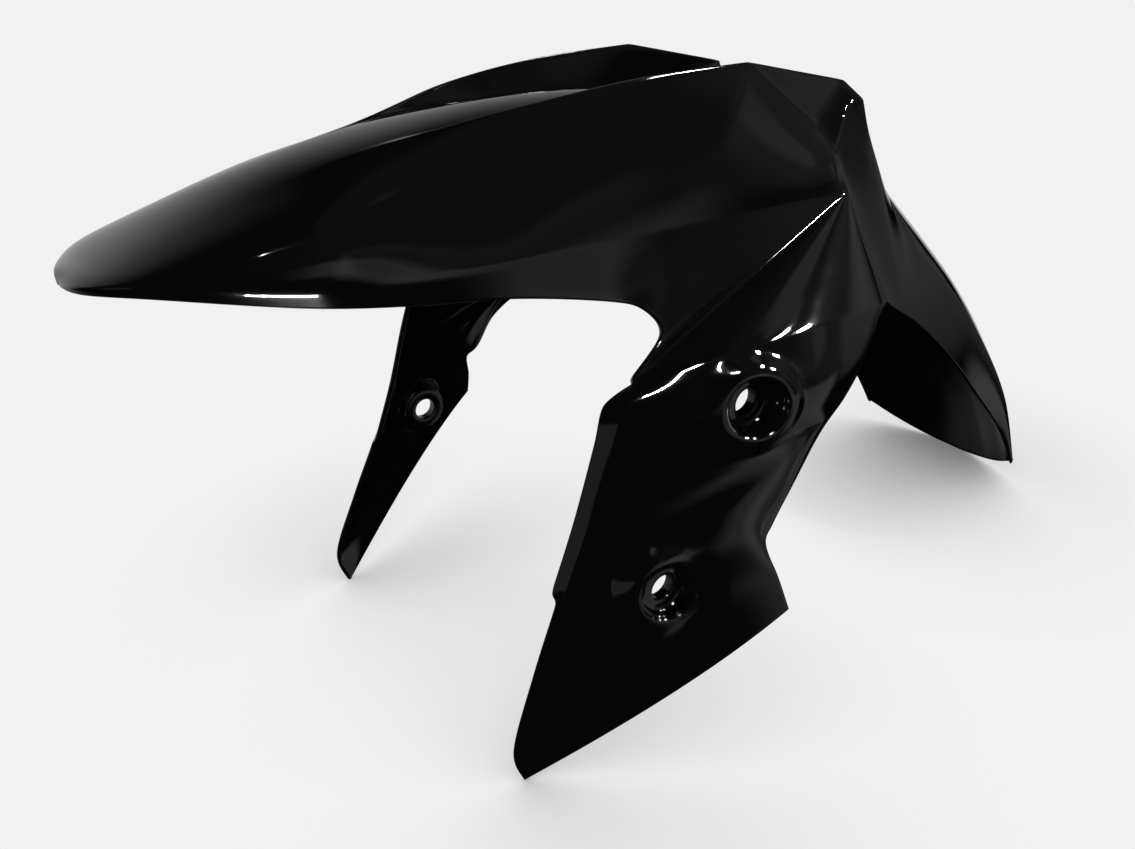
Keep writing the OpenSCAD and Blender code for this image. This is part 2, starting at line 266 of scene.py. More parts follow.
@dataclass(frozen=True)
class FrontLines:
    """Stations of the front body, from the tip of the nose to the rear of the fins."""

    crown: np.ndarray = field(default_factory=lambda: line(
        (128, 0, 231), (125, 0, 235.5), (110, 0, 242.5), (60, 0, 259), (10, 0, 270.5),
        (-45, 0, 277.5), (-95, 0, 279), (-140, 0, 275), (-185, 0, 268), (-205, 0, 262)))
    fin_foot: np.ndarray = field(default_factory=lambda: line(
        (128, 0, 231), (124, 3, 235.5), (109, 6, 242.5), (59, 12, 259), (9, 18, 270),
        (-45, 29, 273), (-95, 35, 270), (-145, 38, 264), (-200, 42, 254), (-218, 45, 247)))
    fin_top: np.ndarray = field(default_factory=lambda: line(
        (128, 0, 231), (124, 3, 235.5), (109, 7, 242.5), (59, 13, 259), (9, 20, 270.5),
        (-47, 34, 281.5), (-99, 39, 288), (-158, 42, 290.5), (-221, 43, 278), (-230, 49, 269)))
    chamfer: np.ndarray = field(default_factory=lambda: line(
        (128, 0, 231), (124, 3, 235.5), (109, 7, 242.5), (59, 13, 259), (9, 20, 270.5),
        (-47, 34, 281.5), (-99, 39, 288), (-158, 42, 290.5), (-196, 50, 260), (-206, 56, 248)))
    crease: np.ndarray = field(default_factory=lambda: line(
        (128, 0, 231), (125, 17, 234), (106, 37, 235), (58, 53, 229), (24, 58, 228),
        (-24, 62, 228.5), (-68, 64, 229.5), (-110, 65, 230.5), (-178, 65, 230.5), (-207, 65, 230.5)))
    rim: np.ndarray = field(default_factory=lambda: line(
        (128, 0, 231), (124, 16.5, 231.5), (105, 36, 231.5), (58, 51, 223), (22, 57, 218),
        (-22, 62, 213.5), (-62, 69, 206.5), (-77, 75, 202), (-82, 81, 191), (-62, 86, 176)))
    peak_station: int = 7
    columns: tuple[int, ...] = (5, 7, 13, 12, 12, 12, 12, 14, 10)

    def edge(self, stations: np.ndarray, s: np.ndarray) -> np.ndarray:
        """A line with a sharp corner at the fin's peak: smooth before it, straight behind it.

        Args:
            stations: Points of the line, one row each.
            s: Places along the line.

        Returns:
            One point for each place.
        """
        peak = self.peak_station
        return np.where((s <= peak)[:, None], smooth(stations[:peak + 1], np.minimum(s, peak)),
                        straight(stations, s))


@dataclass(frozen=True)
class TailLines:
    """Stations of the tail, from the rear of the fins to its end."""

    crown: np.ndarray = field(default_factory=lambda: line(
        (-205, 0, 262), (-244, 0, 242), (-287, 0, 212), (-328, 0, 179), (-366, 0, 142),
        (-399, 0, 99), (-422, 0, 52), (-434, 0, 0)))
    foot: np.ndarray = field(default_factory=lambda: line(
        (-218, 45, 247), (-240, 48, 237), (-262, 51, 212), (-287, 53, 187), (-317, 55, 160),
        (-350, 57, 125), (-388, 58, 76), (-415, 58, 18)))
    crest: np.ndarray = field(default_factory=lambda: line(
        (-230, 49, 269), (-240, 50, 245), (-262, 53, 207), (-285, 56, 183.5), (-316, 58, 157),
        (-350, 60, 121), (-388, 61, 72), (-414, 60, 20)))
    rim: np.ndarray = field(default_factory=lambda: line(
        (-226, 82, 176), (-243, 78, 166), (-263, 74, 155), (-289, 70, 138), (-321, 66, 113),
        (-354, 63, 83), (-388, 61, 50), (-412, 60, 16)))
    shoulder: np.ndarray = field(default_factory=lambda: line(
        (-230, 49, 269), (-219, 49, 267), (-206, 56, 248), (-207, 65, 230.5), (-226, 82, 176)))
    shoulder_fade: float = 1.2
    columns: tuple[int, ...] = (16, 12, 10, 10, 10, 10, 12)


@dataclass(frozen=True)
class LegLines:
    """Stations of the leg panel, from the knee to the foot, and its turned front strip."""

    front: np.ndarray = field(default_factory=lambda: line(
        (-62, 86, 176), (-49, 88, 169), (-43, 90, 153), (-33, 90, 120), (-22, 90, 90),
        (-20.5, 90, 84), (-7.5, 92, 54), (5, 94.5, 20), (0, 95, 0)))
    ridge: np.ndarray = field(default_factory=lambda: line(
        (-136, 111, 191), (-126, 121, 170), (-120, 121, 154), (-111, 120, 145), (-100, 119.5, 133),
        (-87, 119, 120), (-74, 118, 103), (-68, 120.5, 74), (-61, 125.5, 43)))
    rear: np.ndarray = field(default_factory=lambda: line(
        (-226, 82, 176), (-204, 93, 164), (-179, 103, 152), (-144, 118, 143), (-123, 125, 128),
        (-111, 126, 111), (-105, 129, 105), (-108, 135.5, 90), (-110, 141.5, 76)))
    strip_width: float = 7.0
    strip_turn: float = 4.0
    strip_start: float = 0.125
    kink: float = 0.5
    strip_end: float = 0.625
    narrow_share: float = 0.65
    least_share: float = 0.1
    strip_columns: int = 5
    panel_columns: int = 52

    @property
    def last(self) -> int:
        """Number of the last station."""
        return len(self.front) - 1

    def strip_share(self, v: np.ndarray) -> np.ndarray:
        """How much of the strip is left at v: all of it to the kink, then running out."""
        return np.clip((self.strip_end - v) / (self.strip_end - self.kink), self.least_share, 1.0)

    def strip_edge(self, v: np.ndarray) -> np.ndarray:
        """Place across the leg of the strip's crease, as a share of the girth.

        Args:
            v: Place down the leg, 0 at the knee and 1 at the foot.

        Returns:
            A share of the leg's girth for each place.
        """
        girth = 2 * np.linalg.norm(smooth(self.ridge, v * self.last) - smooth(self.front, v * self.last),
                                   axis=-1)
        width = self.strip_width * (1 - (1 - self.narrow_share) * np.minimum(1, v / self.kink))
        return self.strip_share(v) * width / girth

    def row(self, u: np.ndarray, v: np.ndarray) -> np.ndarray:
        """Points of the leg: a parabola through front edge, ridge and rear edge, less the strip's turn.

        Args:
            u: Place across the leg, 0 at the front edge and 1 at the rear edge.
            v: Place down the leg, 0 at the knee and 1 at the foot, of the same shape.

        Returns:
            One point for each pair.
        """
        front, ridge, rear = (smooth(each, v * self.last) for each in (self.front, self.ridge, self.rear))
        w = u[..., None]
        turn = (self.strip_share(v) * self.strip_turn * np.minimum(1, v / self.strip_start)
                * np.maximum(0, 1 - u / self.strip_edge(v)))
        points = front * (1 - w) * (1 - 2 * w) + ridge * 4 * w * (1 - w) + rear * w * (2 * w - 1)
        points[..., 1] -= turn
        return points


@dataclass(frozen=True)
class Bolt:
    """One bolt place of the left leg, in the drawing's frame."""

    x: float
    z: float
    collar_y: float
    lean: float
    collar_d: float = 31.0
    collar_fade: float = 7.0
    tilt: float = 0.08
    seat_y: float = 105.0
    bore_length: float = 6.0
    bore_d: float = 12.0
    boss_d: float = 24.0
    root_d: float = 28.0
    recess_d: float = 26.0
    floor_d: float = 23.0
    rim_round: float = 1.3
    floor_round: float = 1.6
    edge_round: float = 0.6
    root_round: float = 2.0
    half_rows: int = 12
    half_columns: int = 9
    ring_count: int = 7
    first_guess: float = 0.7
    floor_room: float = 0.9
    wall_shares: tuple[float, ...] = (0.35, 0.7, 1.0)
    bore_shares: tuple[float, ...] = (0.33, 0.66, 1.0)
    flat_shares: tuple[float, ...] = (0.5, 1.0)
    small_steps: int = 3
    large_steps: int = 4

    def collared(self, points: np.ndarray) -> np.ndarray:
        """The leg's points, flat round the bolt and back in their own shape outside the collar.

        Args:
            points: Points of the leg, in the drawing's frame.

        Returns:
            As many points, moved along y only.
        """
        dx, dz = points[..., 0] - self.x, points[..., 2] - self.z
        flat = self.collar_y - self.lean * dx - self.tilt * dz
        w = 1 - ease((np.hypot(dx, dz) - self.collar_d / 2) / self.collar_fade)
        result = points.copy()
        result[..., 1] += (flat - points[..., 1]) * w
        return result


@dataclass
class Skin:
    """The outer and inner skin of the left half, as two grids of points with shared rows and columns."""

    front: FrontLines = field(default_factory=FrontLines)
    tail: TailLines = field(default_factory=TailLines)
    leg: LegLines = field(default_factory=LegLines)
    bolts: tuple[Bolt, ...] = (
        Bolt(x=-63.0, z=89.0, collar_y=116.0, lean=0.26),
        Bolt(x=-104.0, z=166.0, collar_y=119.0, lean=0.33))
    wall: float = 2.8
    crease_round: float = 1.6
    mitre_hold: float = 0.15
    least_area: float = 1e-5
    fold_fade: float = 15.0
    edge_round: float = 1.0
    edge_zone: float = 5.0
    dome_reach: float = 0.66
    dome_belly: float = 0.1
    fin_foot_share: float = 0.17
    fin_top_share: float = 0.19
    fin_start: float = 3.2
    fin_full: float = 5.0
    arc_share: float = 0.85
    shoulder_lead: float = 0.5
    fin_bow: tuple[float, float, float] = (0.0, 2.5, 1.0)
    tail_bow: tuple[float, float, float] = (0.0, 1.5, 0.0)
    tail_chamfer_share: float = 0.154
    tail_outside_share: float = 0.692
    panel_gather: float = 0.35
    leg_gather: float = 0.15

    def __post_init__(self) -> None:
        """Sets out the rows and columns, and works out both skins."""
        start = 0
        self.top: dict[Band, int] = {}
        for band in Band:
            self.top[band] = start
            start += band.value
        self.crease_row = self.top[Band.SIDE]
        self.rim_row = self.top[Band.LEG]
        self.foot_row = start
        self.body_s = self.spread(self.front.columns)
        self.tail_s = self.spread(self.tail.columns)
        self.rim_column = len(self.body_s) - 1
        self.peak_column = sum(self.front.columns[:self.front.peak_station])
        self.leg_column = self.rim_column + self.leg.strip_columns + self.leg.panel_columns
        self.end_column = self.leg_column + len(self.tail_s) - 1
        sharp = self.sharp_skin()
        self.outer = self.softened(sharp)
        inside = self.uncrossed(sharp - self.wall * self.inward(sharp))
        self.inner = self.softened(inside)
        self.outer_edge, self.outer = self.with_edges_back(self.outer)
        self.inner_edge, self.inner = self.with_edges_back(self.inner)
        for grid in (self.outer, self.inner, self.outer_edge, self.inner_edge):
            grid[..., 2] = np.where(np.isnan(grid[..., 2]), np.nan, np.maximum(grid[..., 2], 0.0))

    @staticmethod
    def spread(columns: tuple[int, ...]) -> np.ndarray:
        """Places of the columns: an even number of steps between two stations."""
        steps = [k + np.arange(n) / n for k, n in enumerate(columns)]
        return np.concatenate(steps + [np.array([float(len(columns))])])

    def places(self, band: Band) -> np.ndarray:
        """Places across a band, from its first row to its last."""
        return gathered(band.value)

    def crown_arc(self, a: np.ndarray, b: np.ndarray, v: np.ndarray) -> np.ndarray:
        """An arc of an ellipse from the middle line a to the line b, level where it starts.

        Args:
            a: Points of the middle line.
            b: Points of the line at the arc's other end.
            v: Shares of the way across.

        Returns:
            Points by share and place along the lines.
        """
        full = 1 - math.sqrt(1 - self.arc_share ** 2)
        f = (1 - np.sqrt(1 - (v * self.arc_share) ** 2)) / full
        points = a + (b - a) * f[:, None, None]
        points[..., 1] = b[None, :, 1] * v[:, None]
        return points

    def dome(self, s: np.ndarray, v: np.ndarray) -> np.ndarray:
        """The nose's section: a cubic curve from the middle line to the crease, at the shares v.

        Args:
            s: Places along the front body.
            v: Shares of the way from the middle line to the crease.

        Returns:
            Points by share and place.
        """
        a, d = smooth(self.front.crown, s), smooth(self.front.crease, s)
        b, c = a.copy(), d.copy()
        b[:, 1] += self.dome_reach * d[:, 1]
        c[:, 1] += self.dome_belly * d[:, 1]
        c[:, 2] += self.dome_reach * (a[:, 2] - d[:, 2])
        v = v[:, None, None]
        return a * (1 - v) ** 3 + b * 3 * v * (1 - v) ** 2 + c * 3 * v * v * (1 - v) + d * v ** 3

    def creased(self, band: Band, s: np.ndarray) -> np.ndarray:
        """One band of the creased section of the front body.

        Args:
            band: Any band but the leg.
            s: Places along the front body.

        Returns:
            Points by row and place.
        """
        v, lines = self.places(band), self.front
        foot, top = smooth(lines.fin_foot, s), lines.edge(lines.fin_top, s)
        chamfer, crease = lines.edge(lines.chamfer, s), smooth(lines.crease, s)
        none = np.zeros(3)
        if band is Band.CROWN:
            return self.crown_arc(smooth(lines.crown, s), foot, v)
        if band is Band.FIN_INSIDE:
            return bowed(foot, top, v, none)
        if band is Band.CHAMFER:
            return bowed(top, chamfer, v, none)
        if band is Band.OUTSIDE:
            return bowed(chamfer, crease, v, np.array(self.fin_bow))
        return bowed(crease, smooth(lines.rim, s), v, none)

    def dome_shares(self, band: Band) -> np.ndarray:
        """Places of a band's rows on the dome of the nose.

        Args:
            band: A band above the crease.

        Returns:
            One share of the dome's section for each row.
        """
        v, foot, top = self.places(band), self.fin_foot_share, self.fin_top_share
        if band is Band.CROWN:
            return foot * v
        if band is Band.FIN_INSIDE:
            return foot + (top - foot) * v
        return np.full_like(v, top) if band is Band.CHAMFER else top + (1 - top) * v

    def shoulder(self, band: Band) -> np.ndarray:
        """The edge between the panel's rear and the tail's side wall, for the rows of a band.

        The upper bands end as the body does. Each lower band takes its own one or two stretches
        of the shoulder's stations.

        Args:
            band: Any band but the leg.

        Returns:
            One point for each row of the band.
        """
        v, lines = self.places(band), self.tail.shoulder
        last = np.array([float(len(self.front.crown) - 1)])
        if band in (Band.CROWN, Band.FIN_INSIDE):
            return self.creased(band, last)[:, 0]
        first, count = {Band.CHAMFER: (0, 2), Band.OUTSIDE: (2, 1), Band.SIDE: (3, 1)}[band]
        return straight(lines, first + count * v)

    def body_band(self, band: Band) -> np.ndarray:
        """One band of the front body, with the fins growing out of the nose's dome.

        Args:
            band: Any band but the leg.

        Returns:
            Points by row and column, up to the rear of the fins.
        """
        points = self.creased(band, self.body_s)
        if band is not Band.SIDE:
            grown = ease((self.body_s - self.fin_start) / (self.fin_full - self.fin_start))[None, :, None]
            dome = self.dome(self.body_s, self.dome_shares(band))
            points = dome * (1 - grown) + points * grown
            lead = ease(1 - (self.body_s[-1] - self.body_s) / self.shoulder_lead)[None, :, None]
            points = points + (self.shoulder(band)[:, None] - points[:, -1:]) * lead
        return points

    def tail_band(self, band: Band) -> np.ndarray:
        """One band of the tail, into which the shoulder fades.

        Args:
            band: Any band but the leg.

        Returns:
            Points by row and column, from the rear of the fins.
        """
        s, lines, v = self.tail_s, self.tail, self.places(band)
        crest, foot, rim = smooth(lines.crest, s), smooth(lines.foot, s), smooth(lines.rim, s)
        if band is Band.CROWN:
            return self.crown_arc(smooth(lines.crown, s), foot, v)
        if band is Band.FIN_INSIDE:
            return bowed(foot, crest, v, np.zeros(3))
        shares = {Band.CHAMFER: (0.0, self.tail_chamfer_share),
                  Band.OUTSIDE: (self.tail_chamfer_share, self.tail_outside_share),
                  Band.SIDE: (self.tail_outside_share, 1.0)}[band]
        wall = bowed(crest, rim, shares[0] + (shares[1] - shares[0]) * v, np.array(self.tail_bow))
        fade = (1 - ease(s / lines.shoulder_fade))[None, :, None]
        return wall + (self.shoulder(band)[:, None] - wall[:, :1]) * fade

    def leg_places(self, v: np.ndarray) -> np.ndarray:
        """Places across the leg for each row: the strip's columns, then the panel's.

        Args:
            v: Place down the leg of each row.

        Returns:
            One place for each row and column.
        """
        edge = self.leg.strip_edge(v)[:, None]
        strip = np.linspace(0.0, 1.0, self.leg.strip_columns + 1)[None, :-1] * edge
        panel = gathered(self.leg.panel_columns, self.panel_gather)[None]
        return np.concatenate([strip, edge + (1 - edge) * panel], axis=1)

    def sharp_skin(self) -> np.ndarray:
        """The outer skin with sharp creases, as a grid of rows by columns. Unused places hold NaN.

        Returns:
            Points by row and column.
        """
        grid = np.full((self.foot_row + 1, self.end_column + 1, 3), np.nan)
        fan = slice(self.rim_column, self.leg_column + 1)
        for band in Band:
            if band is Band.LEG:
                continue
            rows = slice(self.top[band], self.top[band] + band.value + 1)
            grid[rows, :self.rim_column + 1] = self.body_band(band)
            grid[rows, self.leg_column:] = self.tail_band(band)
            grid[rows, fan] = self.shoulder(band)[:, None]
        across = self.leg_places(np.zeros(1))
        knee = self.leg.row(across, np.zeros_like(across))[0]
        side = self.places(Band.SIDE)
        side_rows = slice(self.crease_row, self.rim_row + 1)
        corner = np.broadcast_to(self.shoulder(Band.SIDE)[0], knee.shape)
        grid[side_rows, fan] = bowed(corner, knee, side, np.zeros(3))
        down = gathered(Band.LEG.value, self.leg_gather)
        u = self.leg_places(down)
        panel = self.leg.row(u, np.broadcast_to(down[:, None], u.shape))
        for bolt in self.bolts:
            panel = bolt.collared(panel)
        grid[self.rim_row:, fan] = panel
        return grid

    def down_paths(self) -> list[tuple[int, int]]:
        """Every column with the number of its last row."""
        return [(i, self.foot_row if self.rim_column <= i <= self.leg_column else self.rim_row)
                for i in range(self.end_column + 1)]

    def along_paths(self) -> list[tuple[int, int, int]]:
        """Every row with its first and last column."""
        return [(j, 0, self.end_column) if j <= self.rim_row else (j, self.rim_column, self.leg_column)
                for j in range(self.foot_row + 1)]

    def joined(self, grid: np.ndarray) -> np.ndarray:
        """The grid with the places that share one point made equal: the nose's tip and the shoulder.

        Args:
            grid: Points or values by row and column, which are changed.

        Returns:
            The same grid.
        """
        fan = slice(self.rim_column, self.leg_column + 1)
        grid[:self.crease_row + 1, fan] = grid[:self.crease_row + 1, fan].mean(axis=1, keepdims=True)
        grid[:self.rim_row + 1, 0] = grid[0, 0]
        return grid

    def softened(self, grid: np.ndarray) -> np.ndarray:
        """The grid with each sharp crease rounded, by averaging along each column and then each row.

        A column is averaged together with its mirror image, so the middle line stays level.

        Args:
            grid: Points by row and column.

        Returns:
            As many points.
        """
        mirror, reach = np.array([1.0, -1.0, 1.0]), self.crease_round
        result = grid.copy()
        for i, last in self.down_paths():
            path = grid[:last + 1, i]
            both = np.concatenate([path[:0:-1] * mirror, path])
            result[:last + 1, i] = averaged(both, both, reach)[last:]
        result = self.joined(result)
        for j, first, last in self.along_paths():
            own = slice(first, last + 1)
            result[j, own] = averaged(grid[j, own], result[j, own], reach)
        return self.joined(result)

    def blocks(self) -> list[tuple[slice, slice]]:
        """Rows and columns of each smooth patch of the skin, both ends included.

        Returns:
            The patches of the body and the tail, and then the two of the leg.
        """
        tops = [*self.top.values(), self.foot_row]
        bands = [slice(first, last + 1) for first, last in zip(tops, tops[1:])]
        body = slice(0, self.rim_column + 1)
        fan = slice(self.rim_column, self.leg_column + 1)
        tail = slice(self.leg_column, self.end_column + 1)
        return ([(rows, columns) for rows in bands[:-1] for columns in (body, tail)]
                + [(rows, fan) for rows in bands[-2:]])

    def patch_normals(self, patch: np.ndarray) -> np.ndarray:
        """Unit normals inside one patch: the cross product of the steps down and along it.

        Places where the patch has no width take the normal of the place beside them, or none
        where that has no width either.

        Args:
            patch: Points by row and column.

        Returns:
            One normal for each point.
        """
        normals = np.cross(np.gradient(patch, axis=0), np.gradient(patch, axis=1))
        size = np.linalg.norm(normals, axis=-1, keepdims=True)
        normals = np.where(size > self.least_area, normals / np.maximum(size, TINY), 0.0)
        for here, beside in (((0,), (1,)), ((slice(None), 0), (slice(None), 1))):
            missing = ~normals[here].any(axis=-1, keepdims=True)
            normals[here] = np.where(missing, normals[beside], normals[here])
        return normals

    def fading(self, path: np.ndarray) -> tuple[np.ndarray, np.ndarray]:
        """Weights that fall evenly from 1 at the start of a path, and at its end, to 0 over the fade.

        Args:
            path: Points along the path.

        Returns:
            The weights from the start, and those from the end.
        """
        s = lengths(path)
        reach = min(self.fold_fade, s[-1])
        return np.clip(1 - s / reach, 0, 1), np.clip(1 - (s[-1] - s) / reach, 0, 1)

    def shared(self, values: np.ndarray) -> np.ndarray:
        """The values with those of all places that share one point added up.

        Args:
            values: Values by row and column, which are changed.

        Returns:
            The same values.
        """
        rim, crease, front, rear = self.rim_row, self.crease_row, self.rim_column, self.leg_column
        shoulder = values[:crease + 1, front:rear + 1]
        shoulder[:] = shoulder.sum(axis=1, keepdims=True)
        fin_top = values[self.top[Band.CHAMFER]:self.top[Band.OUTSIDE] + 1, :self.peak_column + 1]
        fin_top[:] = fin_top.sum(axis=0, keepdims=True)
        values[:rim + 1, 0] = values[:rim + 1, 0].sum(axis=0)
        return values

    def inward(self, grid: np.ndarray) -> np.ndarray:
        """Outward vectors M by which the inner skin is set in.

        On a patch M is its normal. On a fold between patches M solves N . M = 1 for the normals N
        of all the patches that meet there, by least squares that are held back towards a length
        of one. The difference between both fades evenly from each side of a patch inwards.

        Args:
            grid: Points of the outer skin, by row and column.

        Returns:
            One vector for each point.
        """
        normals = {number: self.patch_normals(grid[block]) for number, block in enumerate(self.blocks())}
        square, total = np.zeros(grid.shape + (3,)), np.zeros_like(grid)
        for number, block in enumerate(self.blocks()):
            own = normals[number]
            square[block] += own[..., :, None] * own[..., None, :]
            total[block] += own
        square[0, ..., 1, :], square[0, ..., :, 1], total[0, :, 1] = 0.0, 0.0, 0.0
        square, total = self.shared(square), self.shared(total)
        hold = self.mitre_hold
        fold = np.linalg.solve(square + hold * np.eye(3), (total + hold * unit(total))[..., None])[..., 0]
        result = fold.copy()
        for number, block in enumerate(self.blocks()):
            change = fold[block] - normals[number]
            patch = grid[block]
            above, below = self.fading(patch[:, patch.shape[1] // 2])
            before, behind = self.fading(patch[patch.shape[0] // 2])
            above, below = above[:, None, None], below[:, None, None]
            before, behind = before[None, :, None], behind[None, :, None]
            spread = (above * change[:1] + below * change[-1:]
                      + before * change[:, :1] + behind * change[:, -1:]
                      - above * (before * change[:1, :1] + behind * change[:1, -1:])
                      - below * (before * change[-1:, :1] + behind * change[-1:, -1:]))
            result[block] = normals[number] + spread
        return result

    def uncrossed(self, grid: np.ndarray) -> np.ndarray:
        """The inner skin cut off where its two sides would cross inside a thin fin.

        In every column the path up to the fin's top and the path down from it are taken as
        outlines seen from the front. Their first crossing becomes the inner top, and the rows of
        each path are spread evenly up to it.

        Args:
            grid: Points of the inner skin, which are changed.

        Returns:
            The same grid.
        """
        top, foot = self.top[Band.CHAMFER], self.rim_row
        for i in range(1, self.end_column + 1):
            up, down = grid[:top + 1, i].copy(), grid[top:foot + 1, i].copy()
            crossing = first_crossing(up[:, 1:], down[:, 1:])
            if crossing is None:
                continue
            up_s, down_s = lengths(up), lengths(down)
            up_cut = np.interp(crossing[0], np.arange(len(up)), up_s)
            down_cut = np.interp(crossing[1], np.arange(len(down)), down_s)
            up_place = up_s * up_cut / up_s[-1]
            down_place = down_cut + down_s * (down_s[-1] - down_cut) / down_s[-1]
            up, down = placed(up, up_place), placed(down, down_place)
            up[-1] = down[0] = (up[-1] + down[0]) / 2
            grid[:top + 1, i], grid[top:foot + 1, i] = up, down
        return self.joined(grid)

    def with_edges_back(self, grid: np.ndarray) -> tuple[np.ndarray, np.ndarray]:
        """The grid with its free edges drawn back, to leave room for the rounded edge.

        Args:
            grid: Points by row and column, which are changed.

        Returns:
            The old grid, and the grid with its edges back.
        """
        old, amount, zone = grid.copy(), self.edge_round, self.edge_zone
        for i, last in self.down_paths():
            grid[:last + 1, i] = drawn_back(grid[:last + 1, i], amount, zone)
        for j, first, last in self.along_paths():
            path = drawn_back(grid[j, first:last + 1], amount, zone)
            if j > self.rim_row:
                path = drawn_back(path[::-1], amount, zone)[::-1]
            grid[j, first:last + 1] = path
        rim, front, rear = self.rim_row, self.rim_column, self.leg_column
        move = grid - old
        grid[rim, front] = old[rim, front] + (move[rim, front - 1] + move[rim + 1, front]) / 2
        grid[rim, rear] = old[rim, rear] + (move[rim, rear + 1] + move[rim + 1, rear]) / 2
        along_crown = lengths(old[0])
        grid[:rim + 1, 0] = [np.interp(amount, along_crown, old[0, :, axis]) for axis in range(3)]
        return old, grid

    def edge_walk(self) -> np.ndarray:
        """Rows and columns of the free edge, from the nose round the leg to the end of the tail.

        Returns:
            One pair of a row and a column for each place.
        """
        rim, foot, end = self.rim_row, self.foot_row, self.end_column
        front, rear = self.rim_column, self.leg_column
        return grid_walk((rim, 0), (rim, front), (foot, front), (foot, rear), (rim, rear),
                         (rim, end), (0, end))


@dataclass
class ShellMesh:
    """The closed mesh of the whole shell: both skins, the rounded free edge and the bolt recesses."""

    skin: Skin
    edge_steps: int = 7
    edge_power: float = 0.75
    weld: float = 0.03
    search_steps: int = 30
    search_reach: float = 0.5

    def __post_init__(self) -> None:
        """Starts with no points and no faces."""
        self.points: list[np.ndarray] = []
        self.faces: list[np.ndarray] = []
        self.count = 0

    def add_points(self, points: np.ndarray) -> np.ndarray:
        """Takes in points and returns their numbers, in the shape of the grid they came in.

        Args:
            points: Points of any grid.

        Returns:
            One number for each point.
        """
        flat = points.reshape(-1, 3)
        numbers = np.arange(self.count, self.count + len(flat)).reshape(points.shape[:-1])
        self.points.append(flat)
        self.count += len(flat)
        return numbers

    def add_grid(self, numbers: np.ndarray, keep: np.ndarray | None = None) -> None:
        """Takes in the four-sided faces between the rows and columns of a grid of numbers.

        Args:
            numbers: Numbers of points by row and column.
            keep: Which cells have a face, or None where all have.
        """
        corners = [numbers[:-1, :-1], numbers[1:, :-1], numbers[1:, 1:], numbers[:-1, 1:]]
        quads = np.stack(corners, axis=-1)
        self.faces.append(quads.reshape(-1, 4) if keep is None else quads[keep])

    def skin_mask(self, holes: list[tuple[slice, slice]]) -> np.ndarray:
        """Which cells of the skin's grid are there: not outside the leg, and not in a bolt's block.

        Args:
            holes: Rows and columns of the cells round each bolt.

        Returns:
            A truth value for each cell.
        """
        skin = self.skin
        mask = np.ones((skin.foot_row, skin.end_column), bool)
        mask[skin.rim_row:, :skin.rim_column] = False
        mask[skin.rim_row:, skin.leg_column:] = False
        for rows, columns in holes:
            mask[rows, columns] = False
        return mask

    def build_edge(self, outer: np.ndarray, inner: np.ndarray) -> None:
        """The free edge: a flattened half circle from the outer to the inner skin.

        Each point is the middle of the wall, plus half the wall times a power of the cosine, plus
        the edge's reach times a power of the sine.

        Args:
            outer: Numbers of the outer skin's points, by row and column.
            inner: Those of the inner skin.
        """
        skin, walk = self.skin, self.skin.edge_walk()
        rows, columns = walk[:, 0], walk[:, 1]
        start, end = skin.outer[rows, columns], skin.inner[rows, columns]
        back = skin.outer_edge - skin.outer + skin.inner_edge - skin.inner
        reach = back[rows, columns] / 2
        angle = np.linspace(0.0, math.pi, self.edge_steps + 1)[1:-1]
        cos = np.sign(np.cos(angle)) * np.abs(np.cos(angle)) ** self.edge_power
        sin = np.sin(angle) ** self.edge_power
        middle, half = (start + end) / 2, (start - end) / 2
        round_points = middle + half * cos[:, None, None] + reach * sin[:, None, None]
        round_points[..., 2] = np.maximum(round_points[..., 2], 0.0)
        numbers = self.add_points(round_points)
        self.add_grid(np.concatenate([outer[rows, columns][None], numbers, inner[rows, columns][None]]))

    @staticmethod
    def on_grid(grid: np.ndarray, place: np.ndarray) -> np.ndarray:
        """Points of a grid's surface at places between its rows and columns, by two-way mixing.

        Args:
            grid: Points by row and column.
            place: Pairs of a row and a column, with fractions.

        Returns:
            One point for each pair.
        """
        inside = 0.999
        a = np.clip(place[..., 0], 0, grid.shape[0] - 2 + inside)
        b = np.clip(place[..., 1], 0, grid.shape[1] - 2 + inside)
        j, i = np.floor(a).astype(int), np.floor(b).astype(int)
        f, g = (a - j)[..., None], (b - i)[..., None]
        return ((grid[j, i] * (1 - g) + grid[j, i + 1] * g) * (1 - f)
                + (grid[j + 1, i] * (1 - g) + grid[j + 1, i + 1] * g) * f)

    def place_of(self, grid: np.ndarray, x: np.ndarray, z: np.ndarray, start: np.ndarray) -> np.ndarray:
        """Places on the grid's surface that lie at x and z, found in a few steps of Newton's method.

        Args:
            grid: Points by row and column.
            x: Where the places lie along the guard.
            z: How high they lie.
            start: First guess, as pairs of a row and a column.

        Returns:
            One pair of a row and a column for each guess.
        """
        place = start.astype(float)
        down, across = np.eye(2) * self.search_reach
        for _ in range(self.search_steps):
            here = self.on_grid(grid, place)
            by_row = self.on_grid(grid, place + down) - self.on_grid(grid, place - down)
            by_column = self.on_grid(grid, place + across) - self.on_grid(grid, place - across)
            dx, dz = x - here[..., 0], z - here[..., 2]
            det = by_row[..., 0] * by_column[..., 2] - by_row[..., 2] * by_column[..., 0]
            place[..., 0] += np.clip((dx * by_column[..., 2] - dz * by_column[..., 0]) / det, -1, 1)
            place[..., 1] += np.clip((dz * by_row[..., 0] - dx * by_row[..., 2]) / det, -1, 1)
        return place

